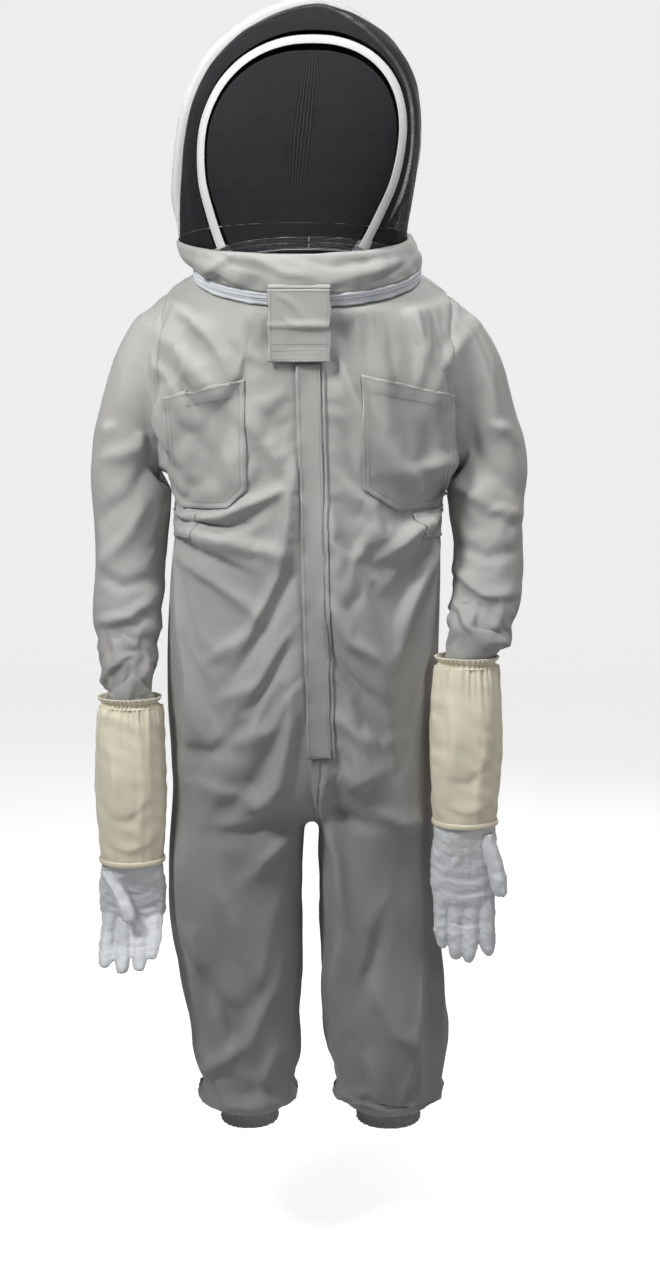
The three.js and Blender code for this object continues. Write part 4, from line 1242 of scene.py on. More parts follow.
    def _finer(self, cloth: bpy.types.Object, start: Points, moved: Points) -> bpy.types.Object:
        """Split each face of the cloth in four, carrying the moves along.

        Args:
            cloth: The cloth.
            start: Its points' places.
            moved: Their moves.

        Returns:
            The finer cloth, with the moves as an attribute.
        """
        results = []
        for spots in (start, start + moved):
            copy = cloth.copy()
            copy.data = cloth.data.copy()
            bpy.context.scene.collection.objects.link(copy)
            put_places(copy, spots)
            layer = copy.modifiers.new("finer", "SUBSURF")
            layer.levels = layer.render_levels = 1
            results.append(baked(copy))
        fine, hung = results
        moves = places(hung) - places(fine)
        bpy.data.objects.remove(hung, do_unlink=True)
        bpy.data.objects.remove(cloth, do_unlink=True)
        fine.data.attributes.new("moved", "FLOAT_VECTOR", "POINT").data.foreach_set(
            "vector", moves.astype(np.float32).ravel()
        )
        return fine

    def cut(self, cloth: bpy.types.Object, wardrobe: Wardrobe) -> dict[str, bpy.types.Object]:
        """Cut the cloth along its seams and put each panel in its hung place.

        Args:
            cloth: The whole cloth.
            wardrobe: The finishes.

        Returns:
            The panels by name.
        """
        work = bmesh.new()
        work.from_mesh(cloth.data)
        neck_normal = Vector((0, -math.sin(NECK_TILT), math.cos(NECK_TILT)))
        neck_point = Vector((0, 0, NECK_Z)) - neck_normal * 0.0096
        lean = Vector((math.cos(FRONT_LEAN), 0, math.sin(FRONT_LEAN)))
        shave = [
            (neck_point, neck_normal), (
                Vector((0, 0, -self.torso_length - self.leg_length + 0.0005)), Vector((0, 0, -1))
            ),
        ]
        for point, normal in shave:
            geometry = work.verts[:] + work.edges[:] + work.faces[:]
            bmesh.ops.bisect_plane(
                work, geom=geometry, plane_co=point, plane_no=normal, clear_outer=True, dist=1e-5
            )
        seams = [
            (Vector((0, 0, 0)), Vector((0, 1, 0))), (Vector((0, 0, WAIST_Z)), Vector((0, 0, 1))),
            (Vector((0, 0, 0)), Vector((1, 0, 0))), (Vector((0, 0, 0)), lean),
            (lean * self.slot, lean), (-lean * self.slot, lean), (
                Vector((0, 0, self.slot_bottom)), Vector((0, 0, 1))
            ),
        ]
        for side in Side:
            seams.append((self._armhole_point(side), self._armhole_normal(side)))
        for point, normal in seams:
            geometry = work.verts[:] + work.edges[:] + work.faces[:]
            bmesh.ops.bisect_plane(work, geom=geometry, plane_co=point, plane_no=normal, dist=1e-5)
        work.to_mesh(cloth.data)
        work.free()
        start = places(cloth)
        flat = np.empty(len(start) * 3, np.float32)
        cloth.data.attributes["moved"].data.foreach_get("vector", flat)
        hung = self._clear_of_gloves(start, start + flat.reshape(-1, 3))
        faces = [tuple(polygon.vertices) for polygon in cloth.data.polygons]
        middles = np.array([start[list(face)].mean(axis=0) for face in faces])
        labels = self._labels(middles)
        self.skin = BVHTree.FromPolygons(hung.tolist(), faces)
        hung = self._sunk_seams(start, hung, cloth)
        panels = {}
        for name in sorted(set(labels) - {""}):
            chosen = [face for face, label in zip(faces, labels) if label == name]
            used = np.unique(np.concatenate([np.array(face) for face in chosen]))
            renumber = {int(old): new for new, old in enumerate(used)}
            panel = make_piece(
                name, hung[used], [tuple(renumber[i] for i in face) for face in chosen], wardrobe["twill"],
            )
            # Painted shade: the panels' inner faces take the darker copy of the twill.
            panels[name] = thicken(panel, self.wall, wardrobe["twill_inside"])
        bpy.data.objects.remove(cloth, do_unlink=True)
        return panels

    def _clear_of_gloves(self, start: Points, hung: Points) -> Points:
        """Press the body's cloth out of the way that each glove is pulled off along.

        Args:
            start: Each point's place on the spread cloth.
            hung: Its hung place.

        Returns:
            The hung places, clear of the gloves.
        """
        moved = hung.copy()
        body = self._on_sleeve(start) < 0.5
        room = self.glove_room * smooth(-hung[:, 2], self.glove_top - 0.10, self.glove_top)
        for x, y in self.glove_lines:
            away = moved[:, :2] - [x, y]
            distance = np.linalg.norm(away, axis=1).clip(1e-6)
            near = body & (distance < room + 6 * self.glove_ease)
            cleared = room[near] + self.glove_ease * np.logaddexp(
                0, (distance[near] - room[near]) / self.glove_ease
            )
            share = smooth(room[near], 0.0, 0.3 * self.glove_room)
            kept = distance[near] + (cleared - distance[near]) * share
            moved[near, :2] = [x, y] + away[near] * (kept / distance[near])[:, None]
        return moved

    def _armhole_point(self, side: Side) -> Vector:
        """A point on the armhole's seam plane."""
        return Vector((side.value * self.armhole, 0, -0.06))

    def _armhole_normal(self, side: Side) -> Vector:
        """The direction out of the armhole along the arm."""
        return Vector((side.value * 1.0, 0, 0.07)).normalized()

    def _labels(self, middles: Points) -> list[str]:
        """Name the panel that each face of the spread cloth belongs to."""
        x, y, z = middles.T
        line = x + z * math.tan(FRONT_LEAN)
        right = np.where(y < 0, line > 0, x > 0)
        words = np.where(right, "right", "left")
        labels = np.where(y < 0, np.char.add("front_panel_", words), np.char.add("seat_", words))
        labels = np.where((y >= 0) & (z > WAIST_Z), "back_panel", labels)
        slot = (y < 0) & (np.abs(line) < self.slot) & (z > self.slot_bottom)
        labels = np.where(slot, "", labels)
        for side in Side:
            normal = np.array(self._armhole_normal(side))
            out = (middles - np.array(self._armhole_point(side))) @ normal > 0
            edge = np.sign(x) == side.value
            low = np.abs(x) > self._edge(middles)
            arm = edge & np.where(z > -0.2, out, low)
            labels = np.where(arm, f"sleeve_{side.word}", labels)
            wrist = -0.752 if side is Side.LEFT else -0.69
            labels = np.where(arm & (z < wrist + 0.002), "", labels)
        return labels.tolist()

    def _sunk_seams(self, start: Points, hung: Points, cloth: bpy.types.Object) -> Points:
        """Sink the cloth a little along its seams, with a raised lap beside them.

        Args:
            start: The spread places.
            hung: The hung places.
            cloth: The whole cloth.

        Returns:
            The new hung places.
        """
        put_places(cloth, hung)
        normals = point_normals(cloth)
        x, y, z = start.T
        on_body = np.abs(x) < self._edge(start)
        line = np.abs(x + z * math.tan(FRONT_LEAN))
        distances = [
            np.where(y < 0, np.where(z < self.slot_bottom, line, 1.0), np.where(z < WAIST_Z, np.abs(x), 1.0)),
            np.where((y > 0) & on_body, np.abs(z - WAIST_Z), 1.0), np.abs(y),
        ]
        for side in Side:
            normal = np.array(self._armhole_normal(side))
            away = np.abs((start - np.array(self._armhole_point(side))) @ normal)
            distances.append(np.where((np.sign(x) == side.value) & (z > -0.2), away, 1.0))
        sink = np.zeros(len(start))
        for distance in distances:
            sink += 0.0016 * np.exp(-((distance / 0.0026) ** 2)) - 0.0008 * np.exp(
                -(((distance - 0.008) / 0.004) ** 2)
            )
        return hung - normals * sink[:, None]

    def front(self, x: float, z: float, facing: float = -1.0) -> tuple[Points, Points]:
        """Find the hung cloth's face at a place seen from the front.

        Args:
            x: How far across.
            z: How high.
            facing: -1 for the front and 1 for the back.

        Returns:
            The point on the cloth and the direction that it faces.
        """
        spot, normal, _, _ = self.skin.ray_cast(Vector((x, facing * 0.6, z)), Vector((0, -facing, 0)))
        if spot is None:
            return np.array([x, facing * 0.13, z]), np.array([0, facing, 0.0])
        normal = np.array(normal)
        return np.array(spot), normal * np.sign(normal[1] * facing)


# --- Pieces laid on the cloth ---------------------------------------------------------------------


def cut_patch(outline: Sequence[tuple[float, float]], step: float) -> tuple[Points, Faces]:
    """Fill an outline with a fine even grid, clipped to it.

    Args:
        outline: Corners as x and z, in turn leftwards round.
        step: The size of the grid's squares.

    Returns:
        The points, at y = 0 and facing -Y, and the faces.
    """
    work = bmesh.new()
    corners = [work.verts.new((x, 0, z)) for x, z in outline]
    work.faces.new(corners)
    spots = np.array(outline)
    for axis, direction in ((0, Vector((1, 0, 0))), (1, Vector((0, 0, 1)))):
        low, high = spots[:, axis].min(), spots[:, axis].max()
        for line in np.linspace(low, high, max(2, round((high - low) / step)) + 1)[1:-1]:
            geometry = work.verts[:] + work.edges[:] + work.faces[:]
            bmesh.ops.bisect_plane(
                work, geom=geometry, plane_co=direction * float(line), plane_no=direction, dist=1e-7
            )
    bmesh.ops.recalc_face_normals(work, faces=work.faces)
    work.faces.ensure_lookup_table()
    if work.faces[0].normal.y > 0:
        bmesh.ops.reverse_faces(work, faces=work.faces)
    work.verts.index_update()
    points = np.array([vert.co[:] for vert in work.verts])
    faces = [tuple(vert.index for vert in face.verts) for face in work.faces]
    work.free()
    return points, faces


def tree_of(piece: bpy.types.Object) -> BVHTree:
    """The piece's faces, ready to be measured."""
    return BVHTree.FromPolygons(places(piece).tolist(), [tuple(p.vertices) for p in piece.data.polygons])


def seen_from_front(
    tree: BVHTree, path: Sequence[tuple[float, float]], step: float, off: float
) -> tuple[Points, Points]:
    """Follow a line over a piece, as seen from the front.

    Args:
        tree: The piece's faces.
        path: The line's corners, as x and z.
        step: The distance between its points.
        off: How far it stands off the piece.

    Returns:
        The points of the line and the directions that face up from it.
    """
    points, ups = [], []
    for (x0, z0), (x1, z1) in zip(path[:-1], path[1:]):
        count = max(2, round(math.hypot(x1 - x0, z1 - z0) / step))
        for share in np.linspace(0, 1, count, endpoint=False):
            spot, normal, _, _ = tree.ray_cast(
                Vector((x0 + (x1 - x0) * share, -0.6, z0 + (z1 - z0) * share)), Vector((0, 1, 0))
            )
            if spot is not None:
                up = np.array(normal) * (-1 if normal.y > 0 else 1)
                points.append(np.array(spot) + up * off)
                ups.append(up)
    return np.array(points), np.array(ups)


def inset(outline: Sequence[tuple[float, float]], by: float) -> list[tuple[float, float]]:
    """Draw an outline in by an even distance.

    Args:
        outline: Its corners, as x and z.
        by: The distance.

    Returns:
        The smaller outline's corners.
    """
    spots = np.array(outline)
    turn = np.sign(np.sum(spots[:, 0] * np.roll(spots[:, 1], -1) - np.roll(spots[:, 0], -1) * spots[:, 1]))
    ahead = np.roll(spots, -1, axis=0) - spots
    ahead /= np.linalg.norm(ahead, axis=1, keepdims=True)
    inwards = np.stack([-ahead[:, 1], ahead[:, 0]], axis=1) * turn
    before = np.roll(inwards, 1, axis=0)
    corner = (inwards + before) / (1 + np.sum(inwards * before, axis=1, keepdims=True))
    return [tuple(spot) for spot in spots + corner * by]


@dataclass
class ClothPatch:
    """A flat piece of cloth laid on the coverall's front and cut to an outline."""

    name: str
    outline: Sequence[tuple[float, float]]
    off: float = 0.0028
    step: float = 0.0045
    wall: float = 0.0013
    soften: int = 2

    def lay(self, coverall: Coverall, lift: Callable[[Points], Points], material: bpy.types.Material,
            inner: bpy.types.Material | None = None) -> bpy.types.Object:
        """Lay the patch on the cloth.

        Args:
            coverall: The coverall.
            lift: How much further each point stands off, from its x and z.
            material: The patch's finish.
            inner: The finish of its underside.

        Returns:
            The patch.
        """
        points, faces = cut_patch(self.outline, self.step)
        spots, ups = zip(*(coverall.front(x, z) for x, _, z in points))
        piece = make_piece(self.name, np.array(spots), faces, material)
        base = relaxed(piece, np.array(spots), self.soften)
        base[:, 0], base[:, 2] = points[:, 0], points[:, 2]
        ups = relaxed(piece, np.array(ups), 4)
        ups /= np.linalg.norm(ups, axis=1, keepdims=True)
        put_places(piece, base + ups * (self.off + lift(points))[:, None])
        return thicken(piece, self.wall, inner)


@dataclass
class ChestPocket:
    """A patch pocket with a sewn hem, two rows of stitches and clipped lower corners."""

    side: Side
    corners: Sequence[tuple[float, float]]
    gape: float

    def build(self, coverall: Coverall, wardrobe: Wardrobe, tree: bpy.types.GeometryNodeTree) -> None:
        """Sew the pocket on.

        Args:
            coverall: The coverall.
            wardrobe: The finishes.
            tree: The nodes that lay stitches.
        """
        outline = [(self.side.value * x, z) for x, z in self.corners]
        inner, outer = np.array(outline[0]), np.array(outline[1])

        def lift(points: Points) -> Points:
            """How far the pocket bellies out: most in the middle of its open hem."""
            share = (points[:, 0] - inner[0]) / (outer[0] - inner[0])
            top = inner[1] + (outer[1] - inner[1]) * share
            below = top - points[:, 2]
            belly = np.clip(np.sin(np.pi * np.clip(share, 0, 1)), 0, 1) ** 1.3
            hem = 0.0008 * (1 - smooth(np.abs(below - 0.010), 0.009, 0.011))
            rim = np.array([self._to_edge(outline, p) for p in points[:, [0, 2]]])
            rolled = 0.0009 * np.exp(-((rim / 0.0030) ** 2))
            gaping = self.gape * belly * np.exp(-below / 0.045)
            return hem + rolled + gaping + 0.0006 * ripples(points, 31, 0.05)

        patch = ClothPatch(f"pocket_{self.side.word}", outline, off=0.0026)
        piece = patch.lay(coverall, lift, wardrobe["twill"], wardrobe["twill_inside"])
        face = tree_of(piece)
        rows = []
        for depth in (0.0035, 0.0095):
            line = inset(outline, depth)
            rows.append(seen_from_front(face, [*line[1:], line[0]], 0.004, 0.0002))
        for depth in (0.004, 0.020):
            a, b = inset(outline, depth)[:2]
            rows.append(seen_from_front(face, [a, b], 0.004, 0.0002))
        dress(piece, "suit", "twill", f"chest_pocket_{self.side.word}")
        dress(
            STITCH.lay(f"pocket_stitches_{self.side.word}", rows, tree, wardrobe["thread"]), "suit", "twill"
        )

    @staticmethod
    def _to_edge(outline: Sequence[tuple[float, float]], spot: Points) -> float:
        """How far a place is from the sewn edges, the open hem left out."""
        best = 1.0
        for a, b in zip(outline[1:], [*outline[2:], outline[0]]):
            a, b = np.array(a), np.array(b)
            share = np.clip(np.dot(spot - a, b - a) / np.dot(b - a, b - a), 0, 1)
            best = min(best, float(np.linalg.norm(spot - a - share * (b - a))))
        return best


def leaned(across: float, height: float) -> tuple[float, float]:
    """Where a place along the leaning front line is, as x and z."""
    return across - height * math.tan(FRONT_LEAN), height


@dataclass
class FrontClosure:
    """The main zip, its slider and the fly that covers it."""

    top: float = -0.061
    bottom: float = -0.622
    half: float = 0.017
    base: float = 0.006
    tape_half: float = 0.013
    zip_top: float = 0.004

    def build(self, coverall: Coverall, wardrobe: Wardrobe, tree: bpy.types.GeometryNodeTree) -> None:
        """Build the closure from the tapes outwards.

        Args:
            coverall: The coverall.
            wardrobe: The finishes.
            tree: The nodes that lay stitches and teeth.
        """
        self._tapes(coverall, wardrobe, tree)
        self._fly(coverall, wardrobe, tree)
        self._slider(wardrobe)

    def _strip(self, left: float, right: float, bottom: float, top: float) -> list[tuple[float, float]]:
        """The outline of a strip along the front line."""
        return [leaned(left, top), leaned(left, bottom), leaned(right, bottom), leaned(right, top)]

    def _tapes(self, coverall: Coverall, wardrobe: Wardrobe, tree: bpy.types.GeometryNodeTree) -> None:
        """Lay the zip's two tapes behind the cloth's front edges, with a row of teeth on each."""
        for side in Side:
            near, far = 0.00015, self.tape_half
            left, right = sorted((side.value * near, side.value * far))
            outline = self._strip(left, right, self.bottom, self.zip_top)
            patch = ClothPatch(f"main_tape_{side.word}", outline, off=-0.0030, wall=0.0010, soften=4)
            piece = patch.lay(coverall, lambda points: np.zeros(len(points)), wardrobe["tape"])
            line = [
                leaned(side.value * 0.0014, self.bottom + 0.004), leaned(side.value * 0.0014, self.zip_top)
            ]
            teeth = TEETH.lay(
                f"main_teeth_{side.word}", [
                    seen_from_front(tree_of(piece), line, 0.004, 0.0004)
                ], tree, wardrobe["tape"]
            )
            dress(piece, "suit", "tape", f"main_zip_tape_{side.word}")
            dress(teeth, "suit", "tape")

    def _fly(self, coverall: Coverall, wardrobe: Wardrobe, tree: bpy.types.GeometryNodeTree) -> None:
        """Lay the fly over the zip: its left edge is free and its right edge is sewn down."""

        def lift(points: Points) -> Points:
            """How the fly rises to its crisp free edge."""
            across = points[:, 0] + points[:, 2] * math.tan(FRONT_LEAN)
            free = smooth(-across, 0.0, self.half)
            wave = 0.0011 * np.sin(points[:, 2] * 61.0) + 0.0008 * np.sin(points[:, 2] * 143.0 + 1.0)
            edge = 0.0008 * np.exp(-((np.abs(across) - self.half) / 0.0025) ** 2)
            return 0.0016 * free + wave * free + edge

        patch = ClothPatch(
            "fly", self._strip(-self.half, self.half, self.bottom, self.top), off=0.0046, wall=0.0018,
            step=0.004, soften=5
        )
        piece = patch.lay(coverall, lift, wardrobe["twill"], wardrobe["twill_inside"])
        face = tree_of(piece)
        rows = [
            seen_from_front(
                face, [leaned(across, self.top - 0.002), leaned(across, self.bottom + 0.003)], 0.004, 0.0002
            )
            for across in (0.0135, -0.0125)
        ]
        rows.append(
            seen_from_front(
                face, [leaned(-0.0125, self.bottom + 0.004), leaned(0.0135, self.bottom + 0.004)], 0.004,
                0.0002
            )
        )
        dress(piece, "placket", "twill", "placket")
        dress(STITCH.lay("fly_stitches", rows, tree, wardrobe["thread"]), "placket", "twill")
        outline = self._strip(self.half + 0.0003, self.half + self.base, self.bottom, self.top)
        lap = ClothPatch("fly_lap", outline, off=0.0024, wall=0.0012, step=0.003, soften=4).lay(
            coverall, lambda points: np.full(len(points), 0.0008), wardrobe["twill"]
        )
        dress(lap, "suit", "trim", "placket_base")

    def _slider(self, wardrobe: Wardrobe) -> None:
        """Make the zip's slider with its pull, and the stop at its foot."""
        low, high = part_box("main_zip_slider")
        middle = (low + high) / 2
        place = Matrix.Translation(middle) @ Matrix.Rotation(-FRONT_LEAN, 4, "Y")
        body = slider_body("main_slider_body", 0.011, 0.018, 0.0027, place, wardrobe["steel"])
        dress(body, "main_slider", "steel", "main_zip_slider")
        low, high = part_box("main_zip_pull")
        place = Matrix.Translation((low + high) / 2) @ Matrix.Rotation(-FRONT_LEAN, 4, "Y")
        pull = pull_tab("main_pull_tab", 0.006, 0.026, 0.0012, place, wardrobe["steel"])
        dress(pull, "main_slider", "steel", "main_zip_pull")
        low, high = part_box("main_zip_stop")
        place = Matrix.Translation((low + high) / 2) @ Matrix.Rotation(-FRONT_LEAN, 4, "Y")
        stop = bevelled_block("main_stop", 0.0105, 0.0034, float(high.y - low.y), place, wardrobe["steel"])
        dress(stop, "suit", "steel", "main_zip_stop")


def bevelled_block(name: str, width: float, height: float, depth: float, place: Matrix,
                   material: bpy.types.Material) -> bpy.types.Object:
    """Make a small crimped block of metal with rounded edges and a waist.

    Args:
        name: Its name.
        width: Its size across.
        height: Its size up.
        depth: Its size from front to back.
        place: Where it goes.
        material: Its finish.

    Returns:
        The block.
    """
    rings = []
    for share, size in ((-0.5, 0.80), (-0.42, 1.0), (-0.12, 0.94), (0.12, 0.94), (0.42, 1.0), (0.5, 0.80)):
        row = np.array([0, 0, share * height, size * width / 2, depth / 2 * size, depth / 2 * size, 0, 5.0])
        rings.append(oval(row, 24))
    points, faces = tube(np.stack(rings))
    piece = make_piece(name, points, faces, material)
    piece.data.transform(place)
    return piece


def slider_body(name: str, width: float, height: float, depth: float, place: Matrix,
                material: bpy.types.Material) -> bpy.types.Object:
    """Make a zip slider: a rounded shield, wide at its mouth, with a bridge for the pull.

    Args:
        name: Its name.
        width: Its size across.
        height: Its size up.
        depth: Its size from front to back.
        place: Where it goes, with its front facing -Y.
        material: Its finish.

    Returns:
        The slider.
    """
    rings = []
    for share, size, thick in (
        (-0.5, 0.52, 0.6), (-0.46, 0.62, 0.86), (-0.2, 0.70, 0.9), (0.1, 0.88, 0.9), (0.34, 1.0, 0.9),
        (0.46, 0.94, 0.86), (0.5, 0.84, 0.6),
    ):
        half = depth / 2 * thick * 0.8
        rings.append(
            oval(np.array([0, depth * 0.1, share * height, size * width / 2, half, half, 0, 5.0]), 28)
        )
    bridge = []
    for turn in np.linspace(0, np.pi, 9):
        centre = np.array([0, -depth * 0.18 - math.sin(turn) * depth * 0.22, math.cos(turn) * height * 0.28])
        ring = np.linspace(0, 2 * np.pi, 10, endpoint=False)
        bridge.append(
            centre + np.stack([np.cos(ring) * width * 0.14, np.sin(ring) * depth * 0.10, 0 * ring], axis=1)
        )
    points, faces = merged([tube(np.stack(rings)), tube(np.stack(bridge))])
    piece = make_piece(name, points, faces, material)
    face_out(piece)
    piece.data.transform(place)
    return piece


def pull_tab(name: str, width: float, height: float, depth: float, place: Matrix,
             material: bpy.types.Material) -> bpy.types.Object:
    """Make a flat pull with a rounded outline and an eye at its top.

    Args:
        name: Its name.
        width: Its size across.
        height: Its size up.
        depth: Its thickness.
        place: Where it goes, with its front facing -Y.
        material: Its finish.

    Returns:
        The pull.
    """
    turn = np.linspace(0, 2 * np.pi, 40, endpoint=False)
    c, s = np.cos(turn), np.sin(turn)
    outer = np.stack(
        [width / 2 * np.sign(c) * np.abs(c) ** 0.6, height / 2 * np.sign(s) * np.abs(s) ** 0.75], axis=1
    )
    eye = np.stack([width * 0.24 * c, height * 0.33 + height * 0.09 * s], axis=1)
    loops = []
    for line, y in ((outer, 0.0), (outer * 0.96, -0.5), (eye * 1.03, -0.5), (eye, 0.0), (eye * 1.03, 0.5),
                    (outer * 0.96, 0.5)):
        loops.append(np.stack([line[:, 0], np.full(len(line), y * depth), line[:, 1]], axis=1))
    rings = np.stack([*loops, loops[0]])
    count = len(turn)
    points = rings[:-1].reshape(-1, 3)
    rows = len(loops)
    faces = [
        (i * count + j, i * count + (j + 1) % count, ((i + 1) % rows) * count + (j + 1) % count,
         ((i + 1) % rows) * count + j)
        for i in range(rows) for j in range(count)
    ]
    piece = make_piece(name, points, faces, material)
    face_out(piece)
    piece.data.transform(place)
    return piece


@dataclass(frozen=True)
class GatheredBand:
    """A ring of elastic with the cloth gathered over it."""

    pleats: int
    depth: float
    seed: int

    def wave(self, turn: Points) -> Points:
        """How far the gathers stand out round the ring, from -1 to 1, unevenly."""
        source = np.random.default_rng(self.seed)
        drift = source.uniform(0, 2 * np.pi, 3)
        bent = turn * self.pleats + 1.3 * np.sin(3 * turn + drift[0]) + 0.8 * np.sin(7 * turn + drift[1])
        return np.sin(bent) * (0.75 + 0.25 * np.sin(5 * turn + drift[2]))

    def build(self, name: str, rings: Points, wall: float, material: bpy.types.Material) -> bpy.types.Object:
        """Make the band.

        Args:
            name: Its name.
            rings: Its rings from one edge to the other.
            wall: Its thickness.
            material: Its finish.

        Returns:
            The band.
        """
        count = rings.shape[1]
        turn = np.linspace(0, 2 * np.pi, count, endpoint=False)
        middle = rings.mean(axis=1, keepdims=True)
        out = rings - middle
        out /= np.linalg.norm(out, axis=2, keepdims=True)
        share = np.linspace(0, 1, len(rings))
        swell = 0.6 + 0.4 * np.sin(np.pi * share) + 0.25 * np.sin(share * 3 * np.pi)
        moved = rings + out * (self.depth * self.wave(turn)[None, :, None] * swell[:, None, None])
        points, faces = tube(moved, capped=False)
        piece = make_piece(name, points, faces, material)
        face_out_of(piece, middle.mean(axis=(0, 1)))
        return thicken(piece, wall)


def face_out_of(piece: bpy.types.Object, middle: Points) -> None:
    """Turn the faces of an open ring away from its axis.

    Args:
        piece: The ring.
        middle: A point on its axis.
    """
    polygon = piece.data.polygons[0]
    if np.dot(np.array(polygon.normal), np.array(polygon.center) - middle) < 0:
        piece.data.flip_normals()


@dataclass
class Elastics:
    """The gathered waist, the ankle hems and the wrist cuffs."""

    waist_half: float = 0.019
    waist_front: float = -0.078
    ankle_height: float = 0.017

    def build(self, coverall: Coverall, wardrobe: Wardrobe) -> None:
        """Build all the elastics.

        Args:
            coverall: The coverall.
            wardrobe: The finishes.
        """
        self._waist(coverall, wardrobe)
        for side in Side:
            self._ankle(coverall, side, wardrobe)
            self._cuff(side, wardrobe)

    def _waist(self, coverall: Coverall, wardrobe: Wardrobe) -> None:
        """Gather the waist at the back and the sides."""
        rows, columns = 11, 420
        start = math.asin(self.waist_front / 0.142)
        turns = np.linspace(start, math.pi - start, columns)
        band = GatheredBand(pleats=64, depth=0.0017, seed=5)
        gathers = band.depth * band.wave(turns)
        ways = np.stack([np.cos(turns), np.sin(turns), np.zeros(columns)], axis=1)
        points = []
        for height in np.linspace(self.waist_half, -self.waist_half, rows):
            centre = np.array([0, 0, WAIST_Z + height])
            reach = self._reach(coverall, centre, ways)
            swell = 0.55 + 0.45 * math.cos(height / self.waist_half * math.pi * 1.5)
            points.append(centre + ways * (reach + 0.0026 + gathers * swell)[:, None])
        piece = make_piece(
            "waist_gathers", np.vstack(points), grid_faces(rows, columns, False), wardrobe["twill"]
        )
        face_out_of(piece, np.array([0, 0, WAIST_Z]))
        dress(thicken(piece, 0.0012), "suit", "trim", "waist_elastic")

    @staticmethod
    def _reach(coverall: Coverall, centre: Points, ways: Points) -> Points:
        """Measure how far the cloth is from a point inside it, in each direction.

        Args:
            coverall: The coverall.
            centre: The point.
            ways: The directions.

        Returns:
            The distances, evened out along the directions.
        """
        found = []
        for way in ways:
            start = Vector(centre + way * 0.09)
            spot, _, _, _ = coverall.skin.ray_cast(start, Vector(way), 0.16)
            found.append(np.nan if spot is None else 0.09 + (spot - start).length)
        reach = np.array(found)
        good = np.isfinite(reach)
        steps = np.arange(len(reach))
        reach = np.interp(steps, steps[good], reach[good])
        middle = np.median(np.stack([np.roll(reach, k) for k in range(-4, 5)]), axis=0)
        kernel = np.ones(9) / 9
        return np.convolve(
            np.pad(np.clip(reach, middle - 0.004, middle + 0.004), 4, mode="edge"), kernel, mode="valid"
        )

    def _ankle(self, coverall: Coverall, side: Side, wardrobe: Wardrobe) -> None:
        """Gather the hem of a leg."""
        ring = coverall.leg_rings(side)[-1]
        middle = ring.mean(axis=0)
        rings = []
        for share in np.linspace(0, 1, 9):
            grown = middle + (ring - middle) * (1.0 - 0.05 * math.sin(math.pi * share))
            grown[:, 2] = ring[:, 2] + 0.003 - (self.ankle_height + 0.003) * share
            rings.append(self._fine(grown, 288))
        piece = GatheredBand(pleats=26, depth=0.0016, seed=11 + side.value).build(
            f"ankle_gathers_{side.word}", np.stack(rings), 0.0014, wardrobe["twill"]
        )
        dress(piece, "suit", "trim", f"ankle_hem_{side.word}")

    @staticmethod
    def _cuff(side: Side, wardrobe: Wardrobe) -> None:
        """Knit the ribbed cuff at a wrist."""
        low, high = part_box(f"wrist_cuff_{side.word}")
        middle = (low + high) / 2
        half = (high - low) / 2
        rings = []
        for share in np.linspace(0, 1, 9):
            size = 1.0 - 0.06 * math.sin(math.pi * share)
            row = (
                middle.x, middle.y, high.z - (high.z - low.z) * share, half.x * size, half.y * size,
                half.y * size, 0, 2
            )
            rings.append(oval(np.array(row), 240))
        piece = GatheredBand(pleats=40, depth=0.0007, seed=3).build(
            f"ribbed_cuff_{side.word}", np.stack(rings), 0.0016, wardrobe["trim"]
        )
        dress(piece, "suit", "trim", f"wrist_cuff_{side.word}")

    @staticmethod
    def _fine(ring: Points, count: int) -> Points:
        """Spread more points round a ring."""
        closed = np.vstack([ring, ring[:1]])
        share = np.linspace(0, len(ring), count, endpoint=False)
        return np.stack([np.interp(share, np.arange(len(closed)), closed[:, i]) for i in range(3)], axis=1)


# --- Neck zip, collar, flap and hood --------------------------------------------------------------


def neck_place() -> Matrix:
    """The tilted plane of the neck zip."""
    return Matrix.Translation((0, 0, NECK_Z)) @ Matrix.Rotation(NECK_TILT, 4, "X")


def neck_spot(turn: Points, radius: Points | float, height: Points | float) -> Points:
    """Find points round the neck opening.

    Args:
        turn: The angle from the front, positive to the right.
        radius: The distance from the neck's axis.
        height: The height above the zip's plane.

    Returns:
        The points.
    """
    flat = np.stack(np.broadcast_arrays(radius * np.sin(turn), -radius * np.cos(turn), height), axis=-1)
    place = np.array(neck_place())
    return flat @ place[:3, :3].T + place[:3, 3]


